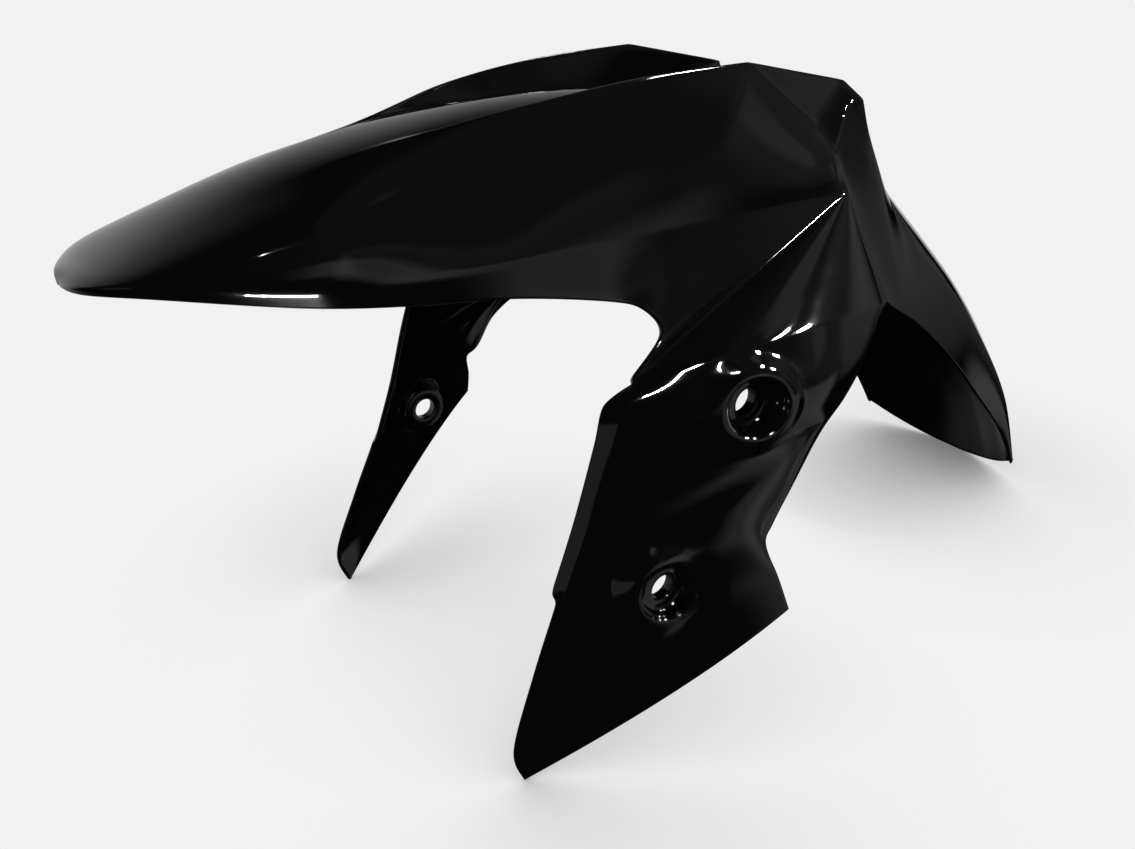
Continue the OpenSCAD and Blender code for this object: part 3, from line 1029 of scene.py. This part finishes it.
    def bolt_block(self, bolt: Bolt) -> tuple[slice, slice, np.ndarray]:
        """The block of cells round a bolt, and the rows and columns of the walk round it.

        Args:
            bolt: The bolt's place and sizes.

        Returns:
            The block's rows, its columns, and the walk.
        """
        skin = self.skin
        leg = skin.outer[skin.rim_row:, skin.rim_column:skin.leg_column + 1]
        near = np.hypot(leg[..., 0] - bolt.x, leg[..., 2] - bolt.z)
        j, i = np.unravel_index(near.argmin(), near.shape)
        j, i = int(j) + skin.rim_row, int(i) + skin.rim_column
        j0, j1 = max(j - bolt.half_rows, skin.rim_row + 1), j + bolt.half_rows
        i0, i1 = i - bolt.half_columns, i + bolt.half_columns
        walk = grid_walk((j0, i0), (j0, i1), (j1, i1), (j1, i0), (j0, i0))[:-1]
        return slice(j0, j1), slice(i0, i1), walk

    def flat_rings(self, grid: np.ndarray, walk: np.ndarray, bolt: Bolt, radius: float,
                   angle: np.ndarray) -> np.ndarray:
        """Rings on the skin from the block's border to a circle round the bolt, without the border.

        Args:
            grid: Points of the leg on one skin.
            walk: Rows and columns of the block's border.
            bolt: The bolt's place and sizes.
            radius: The circle's radius.
            angle: Direction of each spoke about the bolt's axis.

        Returns:
            Points by ring and spoke.
        """
        x, z = bolt.x + radius * np.cos(angle), bolt.z + radius * np.sin(angle)
        middle = walk.mean(axis=0)
        circle = self.place_of(grid, x, z, middle + (walk - middle) * bolt.first_guess)
        t = np.linspace(0.0, 1.0, bolt.ring_count + 1)[1:, None, None]
        return self.on_grid(grid, walk * (1 - t) + circle * t)

    @staticmethod
    def tunnel(bolt: Bolt, angle: np.ndarray, rim_y: np.ndarray, root_y: np.ndarray) -> np.ndarray:
        """Rings through the recess, the bore and the boss, from the outer to the inner skin.

        A ring has a radius and a distance y from the middle plane. The profile is made of straight
        slopes and of quarter ellipses: the middle plus the reach times cosine and sine.

        Args:
            bolt: The bolt's sizes.
            angle: Direction of each spoke about the bolt's axis.
            rim_y: Distance of the outer skin from the middle plane where each spoke meets the recess.
            root_y: Distance of the inner skin where each spoke meets the boss.

        Returns:
            Points of the rings, by ring and spoke, without the two on the skins.
        """
        rings: list[tuple[Size, Size]] = []

        def slope(start: tuple[Size, Size], finish: tuple[Size, Size], shares: tuple[float, ...]) -> None:
            """Adds rings at shares of the way from the start, as radius and y, to the finish."""
            for f in shares:
                rings.append((start[0] * (1 - f) + finish[0] * f, start[1] * (1 - f) + finish[1] * f))

        def corner(middle: tuple[Size, Size], reach: tuple[Size, Size], turn: tuple[float, float],
                   steps: int) -> None:
            """Adds the rings of a rounded corner, without the first.

            Args:
                middle: Radius and y of the corner's middle.
                reach: How far the corner reaches from it along the radius and along y.
                turn: First and last angle in degrees.
                steps: Number of rings.
            """
            for a in np.radians(np.linspace(*turn, steps + 1)[1:]):
                rings.append((middle[0] + reach[0] * math.cos(a), middle[1] + reach[1] * math.sin(a)))

        recess, floor, bore = bolt.recess_d / 2, bolt.floor_d / 2, bolt.bore_d / 2
        boss, root = bolt.boss_d / 2, bolt.root_d / 2
        floor_y, seat = bolt.seat_y + bolt.bore_length, bolt.seat_y
        top, low, edge, skirt = bolt.rim_round, bolt.floor_round, bolt.edge_round, bolt.root_round
        low_y = np.minimum(low, (rim_y - top - floor_y) * bolt.floor_room)
        small, large = bolt.small_steps, bolt.large_steps
        corner((recess + top, rim_y - top), (top, top), (90, 180), large)
        slope((recess, rim_y - top), (floor, floor_y + low_y), bolt.wall_shares)
        corner((floor - low, floor_y + low_y), (low, low_y), (0, -90), large)
        slope((floor - low, floor_y), (bore + edge, floor_y), bolt.flat_shares)
        corner((bore + edge, floor_y - edge), (edge, edge), (90, 180), small)
        slope((bore, floor_y - edge), (bore, seat + edge), bolt.bore_shares)
        corner((bore + edge, seat + edge), (edge, edge), (180, 270), small)
        slope((bore + edge, seat), (boss - edge, seat), bolt.flat_shares)
        corner((boss - edge, seat + edge), (edge, edge), (-90, 0), small)
        slope((boss, seat + edge), (root, root_y - skirt), bolt.wall_shares)
        corner((root + skirt, root_y - skirt), (skirt, skirt), (180, 90), large)
        rings.pop()
        radius, y = (np.stack([each + np.zeros_like(angle) for each in part]) for part in zip(*rings))
        return np.stack([bolt.x + radius * np.cos(angle), y, bolt.z + radius * np.sin(angle)], axis=-1)

    def build_bolt(self, bolt: Bolt, walk: np.ndarray, outer: np.ndarray, inner: np.ndarray) -> None:
        """The rings of one bolt's recess, bore and boss, joined to the skins round its block.

        Args:
            bolt: The bolt's place and sizes.
            walk: Rows and columns of the border round its block.
            outer: Numbers of the outer skin's points, by row and column.
            inner: Those of the inner skin.
        """
        skin = self.skin
        rows, columns = walk[:, 0], walk[:, 1]
        border = skin.outer[rows, columns]
        angle = np.arctan2(border[:, 2] - bolt.z, border[:, 0] - bolt.x)
        leg_rows = slice(skin.rim_row, None)
        leg_columns = slice(skin.rim_column, skin.leg_column + 1)
        local = (walk - [skin.rim_row, skin.rim_column]).astype(float)
        rim = self.flat_rings(skin.outer[leg_rows, leg_columns], local, bolt,
                              bolt.recess_d / 2 + bolt.rim_round, angle)
        root = self.flat_rings(skin.inner[leg_rows, leg_columns], local, bolt,
                               bolt.root_d / 2 + bolt.root_round, angle)
        through = self.tunnel(bolt, angle, rim[-1, :, 1], root[-1, :, 1])
        numbers = self.add_points(np.concatenate([rim, through, root[::-1]]))
        rings = np.concatenate([outer[rows, columns][None], numbers, inner[rows, columns][None]])
        self.add_grid(np.concatenate([rings, rings[:, :1]], axis=1))

    def build(self) -> tuple[np.ndarray, np.ndarray]:
        """Works out the left half and repeats it on the right.

        The few points of the tip that come out past the middle plane are drawn onto it and welded.

        Returns:
            Points in millimetres, and faces of four numbers.
        """
        skin = self.skin
        outer, inner = self.add_points(skin.outer), self.add_points(skin.inner)
        blocks = [self.bolt_block(bolt) for bolt in skin.bolts]
        mask = self.skin_mask([(rows, columns) for rows, columns, _ in blocks])
        self.add_grid(outer, mask)
        self.add_grid(inner, mask)
        self.build_edge(outer, inner)
        for bolt, (_, _, walk) in zip(skin.bolts, blocks):
            self.build_bolt(bolt, walk, outer, inner)
        points, faces = np.concatenate(self.points), np.concatenate(self.faces)
        past = points[:, 1] < 0.0
        points[past] = np.round(points[past] * [1.0, 0.0, 1.0] / self.weld) * self.weld
        right = points * [1.0, -1.0, 1.0]
        return np.concatenate([points, right]), np.concatenate([faces, faces[:, ::-1] + len(points)])


def figured(tree: bpy.types.NodeTree, operation: str,
            *values: bpy.types.NodeSocket | float) -> bpy.types.NodeSocket:
    """A Math node.

    Args:
        tree: The nodes to add to.
        operation: What it does.
        values: What it works on, each a socket or a number.

    Returns:
        Socket with the result.
    """
    made = tree.nodes.new("ShaderNodeMath")
    made.operation = operation
    for value, socket in zip(values, made.inputs):
        if isinstance(value, bpy.types.NodeSocket):
            tree.links.new(value, socket)
        else:
            socket.default_value = value
    return made.outputs[0]


def mixed_by_ray(tree: bpy.types.NodeTree, ray: str, others: bpy.types.NodeSocket,
                 chosen: bpy.types.NodeSocket) -> bpy.types.NodeSocket:
    """Shows one shader to a kind of ray, and another to all other rays.

    Args:
        tree: The nodes to add to.
        ray: The kind of ray, as the Light Path node names it.
        others: The shader for all other rays.
        chosen: The shader for that kind of ray.

    Returns:
        Socket with both.
    """
    rays = tree.nodes.new("ShaderNodeLightPath")
    mix = tree.nodes.new("ShaderNodeMixShader")
    tree.links.new(rays.outputs[ray], mix.inputs["Fac"])
    tree.links.new(others, mix.inputs[1])
    tree.links.new(chosen, mix.inputs[2])
    return mix.outputs[0]


class Group:
    """Builds one shader node group with named inputs and outputs."""

    number = "NodeSocketFloat"

    def __init__(self, name: str, inputs: dict[str, float], outputs: tuple[str, ...]) -> None:
        """Makes the group and its sockets, all of them plain numbers.

        Args:
            name: The group's name.
            inputs: The named inputs with their first values.
            outputs: The names of the outputs.
        """
        self.tree = bpy.data.node_groups.new(name, "ShaderNodeTree")
        for key, value in inputs.items():
            socket = self.tree.interface.new_socket(name=key, in_out="INPUT", socket_type=self.number)
            socket.default_value = value
        for key in outputs:
            self.tree.interface.new_socket(name=key, in_out="OUTPUT", socket_type=self.number)
        self.inputs = self.tree.nodes.new("NodeGroupInput")
        self.outputs = self.tree.nodes.new("NodeGroupOutput")

    def node(self, kind: str, **settings: str) -> bpy.types.Node:
        """A new node of that kind, with its settings.

        Args:
            kind: Type of the node.
            settings: Settings of the node by name.

        Returns:
            The node.
        """
        made = self.tree.nodes.new(kind)
        for key, value in settings.items():
            setattr(made, key, value)
        return made

    def link(self, source: bpy.types.NodeSocket, target: bpy.types.NodeSocket) -> None:
        """Joins two sockets."""
        self.tree.links.new(source, target)


def orange_peel_group() -> bpy.types.NodeTree:
    """The faint long waves and short ripple of a moulded, lacquered surface, as a height.

    Returns:
        The group.
    """
    group = Group("orange_peel", {"Wave": 45.0, "Ripple": 420.0, "Ripple share": 0.25}, ("Height",))
    place = group.node("ShaderNodeTexCoord")
    wave = group.node("ShaderNodeTexNoise", noise_dimensions="3D")
    ripple = group.node("ShaderNodeTexNoise", noise_dimensions="3D")
    for noise, key in ((wave, "Wave"), (ripple, "Ripple")):
        noise.inputs["Detail"].default_value = 1.0
        group.link(place.outputs["Object"], noise.inputs["Vector"])
        group.link(group.inputs.outputs[key], noise.inputs["Scale"])
    share = group.inputs.outputs["Ripple share"]
    small = figured(group.tree, "MULTIPLY", ripple.outputs["Fac"], share)
    height = figured(group.tree, "ADD", wave.outputs["Fac"], small)
    group.link(height, group.outputs.inputs["Height"])
    return group.tree


def speck_group() -> bpy.types.NodeTree:
    """Sparse dust specks: small round dots about the points of a cell pattern, with uneven sizes.

    Returns:
        The group.
    """
    group = Group("dust_specks", {"Scale": 60.0, "Size": 0.03, "Amount": 0.1}, ("Mask",))
    place = group.node("ShaderNodeTexCoord")
    cells = group.node("ShaderNodeTexVoronoi", voronoi_dimensions="3D", feature="F1")
    group.link(place.outputs["Object"], cells.inputs["Vector"])
    group.link(group.inputs.outputs["Scale"], cells.inputs["Scale"])
    parts = group.node("ShaderNodeSeparateColor")
    group.link(cells.outputs["Color"], parts.inputs["Color"])
    chosen = figured(group.tree, "LESS_THAN", parts.outputs["Red"], group.inputs.outputs["Amount"])
    size = figured(group.tree, "MULTIPLY", group.inputs.outputs["Size"], parts.outputs["Green"])
    dot = figured(group.tree, "LESS_THAN", cells.outputs["Distance"], size)
    mask = figured(group.tree, "MULTIPLY", chosen, dot)
    group.link(mask, group.outputs.inputs["Mask"])
    return group.tree


def haze_group() -> bpy.types.NodeTree:
    """Faint wiped haze on the lacquer: stretched noise, kept only where it is strongest.

    Returns:
        The group.
    """
    group = Group("wiped_haze", {"Scale": 9.0, "Start": 0.5, "End": 0.75}, ("Mask",))
    place = group.node("ShaderNodeTexCoord")
    turn = group.node("ShaderNodeMapping")
    turn.inputs["Scale"].default_value = (1.0, 2.2, 3.4)
    turn.inputs["Rotation"].default_value = (0.2, 0.5, 0.3)
    noise = group.node("ShaderNodeTexNoise", noise_dimensions="3D")
    noise.inputs["Detail"].default_value = 4.0
    group.link(place.outputs["Object"], turn.inputs["Vector"])
    group.link(turn.outputs["Vector"], noise.inputs["Vector"])
    group.link(group.inputs.outputs["Scale"], noise.inputs["Scale"])
    window = group.node("ShaderNodeMapRange", interpolation_type="SMOOTHSTEP")
    group.link(noise.outputs["Fac"], window.inputs["Value"])
    group.link(group.inputs.outputs["Start"], window.inputs["From Min"])
    group.link(group.inputs.outputs["End"], window.inputs["From Max"])
    group.link(window.outputs["Result"], group.outputs.inputs["Mask"])
    return group.tree


@dataclass(frozen=True)
class GlossBlack:
    """The shell's finish: a deep black with a lacquer's gloss, orange peel, wiped haze and specks."""

    name: str = "gloss_black_lacquer"
    colour: tuple[float, float, float, float] = (0.0022, 0.0022, 0.0026, 1.0)
    dust: tuple[float, float, float, float] = (0.14, 0.14, 0.14, 1.0)
    roughness: float = 0.035
    haze_roughness: float = 0.07
    peel_depth: float = 0.05
    peel_distance: float = 0.0004
    ior: float = 1.5
    speck_scale: float = 70.0
    speck_size: float = 0.035
    speck_amount: float = 0.05

    def build(self) -> bpy.types.Material:
        """Makes the material.

        Returns:
            The material, to be worn by the shell.
        """
        material = bpy.data.materials.new(self.name)
        material.use_nodes = True
        tree = material.node_tree
        shader = tree.nodes["Principled BSDF"]
        shader.inputs["IOR"].default_value = self.ior

        def placed_group(node_tree: bpy.types.NodeTree, **values: float) -> bpy.types.Node:
            """Places a group in the material with its values.

            Args:
                node_tree: The group.
                values: Its inputs by name.

            Returns:
                The placed group.
            """
            made = tree.nodes.new("ShaderNodeGroup")
            made.node_tree = node_tree
            for key, value in values.items():
                made.inputs[key].default_value = value
            return made

        specks = placed_group(speck_group(), Scale=self.speck_scale, Size=self.speck_size,
                              Amount=self.speck_amount)
        colour = tree.nodes.new("ShaderNodeMix")
        colour.data_type = "RGBA"
        colour.inputs["A"].default_value = self.colour
        colour.inputs["B"].default_value = self.dust
        tree.links.new(specks.outputs["Mask"], colour.inputs["Factor"])
        tree.links.new(colour.outputs["Result"], shader.inputs["Base Color"])
        haze = placed_group(haze_group())
        rough = tree.nodes.new("ShaderNodeMapRange")
        rough.inputs["To Min"].default_value = self.roughness
        rough.inputs["To Max"].default_value = self.haze_roughness
        tree.links.new(haze.outputs["Mask"], rough.inputs["Value"])
        tree.links.new(rough.outputs["Result"], shader.inputs["Roughness"])
        peel = placed_group(orange_peel_group())
        bump = tree.nodes.new("ShaderNodeBump")
        bump.inputs["Strength"].default_value = self.peel_depth
        bump.inputs["Distance"].default_value = self.peel_distance
        tree.links.new(peel.outputs["Height"], bump.inputs["Height"])
        tree.links.new(bump.outputs["Normal"], shader.inputs["Normal"])
        return material


@dataclass
class Shell:
    """The moulded shell as one piece."""

    skin: Skin = field(default_factory=Skin)
    finish: GlossBlack = field(default_factory=GlossBlack)
    merge_distance: float = 2e-6

    def build(self) -> bpy.types.Object:
        """Makes the shell's mesh in the model's frame, closed and with its faces outwards.

        Returns:
            The finished piece.
        """
        points, faces = ShellMesh(self.skin).build()
        low, high = cad_box
        nose, tail = self.skin.front.crown[0, 0], self.skin.tail.crown[-1, 0]
        forward = (low[0] + high[0]) / 2 - (nose + tail) / 2 * MM
        points = np.nan_to_num(points) * MM + [forward, 0.0, 0.0]
        mesh = bpy.data.meshes.new("mudguard_shell")
        mesh.from_pydata(points, [], faces.tolist())
        work = bmesh.new()
        work.from_mesh(mesh)
        bmesh.ops.remove_doubles(work, verts=work.verts, dist=self.merge_distance)
        bmesh.ops.dissolve_degenerate(work, edges=work.edges, dist=self.merge_distance)
        loose = [v for v in work.verts if not v.link_faces]
        bmesh.ops.delete(work, geom=loose, context="VERTS")
        bmesh.ops.recalc_face_normals(work, faces=work.faces)
        open_edges = sum(1 for e in work.edges if not e.is_manifold)
        volume = work.calc_volume(signed=True)
        LOG.info("shell: %d faces, %d open edges, %.1f cm3", len(work.faces), open_edges, volume * 1e6)
        work.to_mesh(mesh)
        work.free()
        mesh.polygons.foreach_set("use_smooth", np.ones(len(mesh.polygons), bool))
        shell = bpy.data.objects.new("mudguard_shell", mesh)
        bpy.context.scene.collection.objects.link(shell)
        shell.data.materials.append(self.finish.build())
        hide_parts(SHELL_NODE)
        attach(shell, BODY)
        return shell


def direction(azimuth: float, height: float) -> Vector:
    """A unit vector from an azimuth and a height above the horizon, both in degrees."""
    a, h = math.radians(azimuth), math.radians(height)
    return Vector((math.cos(h) * math.cos(a), math.cos(h) * math.sin(a), math.sin(h)))


@dataclass(frozen=True)
class Softbox:
    """A rectangular lamp that faces the guard, seen in the lacquer as a bright shape.

    Angles are in degrees: the direction from which it shines, its turn about that, and its beam.
    """

    name: str
    azimuth: float
    height: float
    turn: float
    size: tuple[float, float]
    radiance: float
    aim: tuple[float, float, float]
    distance: float
    beam: float

    def build(self) -> None:
        """Makes the lamp. Its power is its radiance times its area times pi."""
        lamp = bpy.data.lights.new(self.name, "AREA")
        lamp.shape = "RECTANGLE"
        lamp.size, lamp.size_y = self.size
        lamp.energy = self.radiance * self.size[0] * self.size[1] * math.pi
        lamp.spread = math.radians(self.beam)
        holder = bpy.data.objects.new(self.name, lamp)
        away = direction(self.azimuth, self.height)
        facing = (-away).to_track_quat("-Z", "Y").to_matrix().to_4x4()
        turn = Matrix.Rotation(math.radians(self.turn), 4, "Z")
        holder.matrix_world = Matrix.Translation(Vector(self.aim) + away * self.distance) @ facing @ turn
        holder.visible_diffuse = False
        holder.visible_camera = False
        bpy.context.scene.collection.objects.link(holder)


@dataclass(frozen=True)
class Glow:
    """A soft-edged patch of the room that shows in the lacquer.

    The middle, the half size of the even part and the width of the soft edge are each an azimuth
    and a height in degrees.
    """

    middle: tuple[float, float]
    half: tuple[float, float]
    edge: tuple[float, float]
    strength: float


@dataclass
class Studio:
    """The pale floor and backdrop, the lamps and the camera."""

    camera_place: tuple[float, float, float] = (0.332, 0.384, 0.349)
    camera_look: tuple[float, float, float] = (-0.514, -0.732, -0.448)
    focal_pixels: float = 1025.0
    photo_width: float = 1135.0
    sensor: float = 36.0
    floor_half: float = 6.0
    pale: tuple[float, float, float, float] = (0.88, 0.88, 0.88, 1.0)
    room_side: float = 160.0
    shadow_reach: float = 0.16
    near_clip: float = 0.01
    white: tuple[float, float, float, float] = (1.0, 1.0, 1.0, 1.0)
    glows: tuple[Glow, ...] = (
        # On the nose, and along the crown
        Glow((-63.5, 3.5), (12.0, 3.5), (26.0, 60.0), 0.81),
        Glow((-104.6, -7.0), (23.0, 2.0), (8.0, 44.0), 0.71),
        # On the top of the tail
        Glow((-148.0, -8.0), (6.0, 8.0), (6.0, 10.0), 0.8),
        # On the side, from the front to the rear
        Glow((112.0, -6.0), (14.0, 9.0), (9.0, 12.0), 0.36),
        Glow((112.0, 14.0), (10.0, 8.0), (6.0, 6.0), 0.1),
        Glow((134.0, 14.0), (5.0, 4.0), (6.0, 6.0), 0.08),
        # Behind the fin's peak
        Glow((148.0, 15.0), (3.0, 4.0), (4.0, 5.0), 0.2),
        # On the rear of the leg, and on the side of the tail
        Glow((140.0, -22.0), (14.0, 12.0), (8.0, 8.0), 0.42),
        Glow((163.0, 18.0), (20.0, 16.0), (10.0, 16.0), 0.1),
        Glow((178.0, -4.0), (12.0, 8.0), (8.0, 8.0), 0.1),
        # On the knee, and high on the side
        Glow((-172.0, 60.0), (14.0, 4.0), (14.0, 5.0), 0.28),
        Glow((156.0, 57.0), (60.0, 30.0), (35.0, 15.0), 0.06),
        # On the leg: its rear band, and round the lower bolt
        Glow((94.0, 1.0), (6.0, 8.0), (12.0, 12.0), 0.42),
        Glow((12.0, -1.0), (14.0, 6.0), (4.0, 5.0), 0.3))
    lamps: tuple[Softbox, ...] = (
        Softbox("fin_lamp", azimuth=150.0, height=54.0, turn=0.0, size=(0.3, 0.07), radiance=6.5,
                aim=(0.02, 0.078, 0.2), distance=1.0, beam=14.0),
        Softbox("knee_lamp", azimuth=151.0, height=37.0, turn=-20.0, size=(0.10, 0.06), radiance=15.0,
                aim=(0.015, 0.11, 0.192), distance=0.6, beam=10.0),
        Softbox("knee_strip", azimuth=52.0, height=67.0, turn=20.0, size=(0.2, 0.02), radiance=22.0,
                aim=(0.07, 0.101, 0.181), distance=0.8, beam=10.0),
        Softbox("rim_strip", azimuth=76.0, height=-52.0, turn=10.0, size=(0.07, 0.004), radiance=60.0,
                aim=(0.218, 0.051, 0.229), distance=0.24, beam=16.0))

    def build_camera(self) -> None:
        """The camera at the photograph's viewing angle."""
        camera = bpy.data.cameras.new("photo_camera")
        camera.sensor_fit = "HORIZONTAL"
        camera.sensor_width = self.sensor
        camera.lens = self.focal_pixels / self.photo_width * self.sensor
        camera.clip_start = self.near_clip
        camera.dof.use_dof = False
        holder = bpy.data.objects.new("photo_camera", camera)
        ahead = Vector(self.camera_look).normalized()
        right = ahead.cross(Vector((0.0, 0.0, 1.0))).normalized()
        above = right.cross(ahead)
        turn = Matrix((right, above, -ahead)).transposed().to_4x4()
        holder.matrix_world = Matrix.Translation(self.camera_place) @ turn
        bpy.context.scene.collection.objects.link(holder)
        bpy.context.scene.camera = holder

    def build_floor(self) -> None:
        """A pale floor that keeps the guard's near shadow.

        The camera sees it in its own colour, darkened by ambient occlusion within the shadow's
        reach. The lacquer doesn't mirror it: the room goes on below the horizon.
        """
        half = self.floor_half
        mesh = bpy.data.meshes.new("studio_floor")
        mesh.from_pydata([(-half, -half, 0.0), (half, -half, 0.0), (half, half, 0.0), (-half, half, 0.0)],
                         [], [(0, 1, 2, 3)])
        floor = bpy.data.objects.new("studio_floor", mesh)
        bpy.context.scene.collection.objects.link(floor)
        material = bpy.data.materials.new("pale_floor")
        material.use_nodes = True
        tree = material.node_tree
        tree.nodes.remove(tree.nodes["Principled BSDF"])
        pale = tree.nodes.new("ShaderNodeBsdfDiffuse")
        pale.inputs["Color"].default_value = self.pale
        near = tree.nodes.new("ShaderNodeAmbientOcclusion")
        near.inputs["Color"].default_value = self.pale
        near.inputs["Distance"].default_value = self.shadow_reach
        seen = tree.nodes.new("ShaderNodeEmission")
        tree.links.new(near.outputs["Color"], seen.inputs["Color"])
        shown = mixed_by_ray(tree, "Is Camera Ray", pale.outputs[0], seen.outputs[0])
        tree.links.new(shown, tree.nodes["Material Output"].inputs["Surface"])
        floor.visible_glossy = False
        mesh.materials.append(material)

    def room(self, tree: bpy.types.NodeTree, way: bpy.types.NodeSocket) -> bpy.types.NodeSocket:
        """Brightness of the room in a direction, as the sum of its soft patches.

        Args:
            tree: The nodes to add to.
            way: Socket with the direction that is looked in.

        Returns:
            Socket with the brightness.
        """
        def along(axis: Vector) -> bpy.types.NodeSocket:
            """Share of the direction along an axis.

            Args:
                axis: The axis, of length one.

            Returns:
                Socket with the share.
            """
            made = tree.nodes.new("ShaderNodeVectorMath")
            made.operation = "DOT_PRODUCT"
            made.inputs[1].default_value = axis
            tree.links.new(way, made.inputs[0])
            return made.outputs["Value"]

        def window(value: bpy.types.NodeSocket, middle: float, half: float,
                   edge: float) -> bpy.types.NodeSocket:
            """One inside the middle's half width, and a soft fall to none over the edge outside it.

            Args:
                value: Socket with the angle.
                middle: Middle of the patch.
                half: Half the width of its even part.
                edge: Width of its soft edge.

            Returns:
                Socket with the share.
            """
            off = figured(tree, "ABSOLUTE", figured(tree, "SUBTRACT", value, middle))
            made = tree.nodes.new("ShaderNodeMapRange")
            made.interpolation_type = "SMOOTHSTEP"
            made.inputs["From Min"].default_value = half + edge
            made.inputs["From Max"].default_value = half
            tree.links.new(off, made.inputs["Value"])
            return made.outputs["Result"]

        ahead, side = along(direction(self.room_side, 0)), along(direction(self.room_side + 90, 0))
        azimuth = figured(tree, "DEGREES", figured(tree, "ARCTAN2", side, ahead))
        height = figured(tree, "DEGREES", figured(tree, "ARCSINE", along(Vector((0, 0, 1)))))
        total = None
        for glow in self.glows:
            middle = (glow.middle[0] - self.room_side + 180) % 360 - 180
            across = window(azimuth, middle, glow.half[0], glow.edge[0])
            upward = window(height, glow.middle[1], glow.half[1], glow.edge[1])
            share = figured(tree, "MULTIPLY", figured(tree, "MULTIPLY", across, upward), glow.strength)
            total = share if total is None else figured(tree, "ADD", total, share)
        return total

    def build_world(self) -> None:
        """White soft light from all round, the pale backdrop for the camera, and the mirrored room."""
        world = bpy.data.worlds.new("studio_world")
        bpy.context.scene.world = world
        world.use_nodes = True
        tree = world.node_tree
        light = tree.nodes["Background"]
        light.inputs["Color"].default_value = self.white
        back = tree.nodes.new("ShaderNodeBackground")
        back.inputs["Color"].default_value = self.pale
        room = tree.nodes.new("ShaderNodeBackground")
        place = tree.nodes.new("ShaderNodeTexCoord")
        tree.links.new(self.room(tree, place.outputs["Generated"]), room.inputs["Strength"])
        seen = mixed_by_ray(tree, "Is Camera Ray", light.outputs[0], back.outputs[0])
        shown = mixed_by_ray(tree, "Is Glossy Ray", seen, room.outputs[0])
        tree.links.new(shown, tree.nodes["World Output"].inputs["Surface"])

    def build(self) -> None:
        """Makes the whole studio."""
        self.build_camera()
        self.build_floor()
        self.build_world()
        for lamp in self.lamps:
            lamp.build()
        bpy.context.scene.view_settings.view_transform = "Standard"


def main() -> None:
    """Builds the studio and the shell."""
    logging.basicConfig(level=logging.INFO, format="%(name)s: %(message)s")
    Studio().build()
    LOG.info("studio built")
    shell = Shell().build()
    LOG.info("%s rides on %s", shell.name, BODY)


if __name__ == "__main__":
    main()
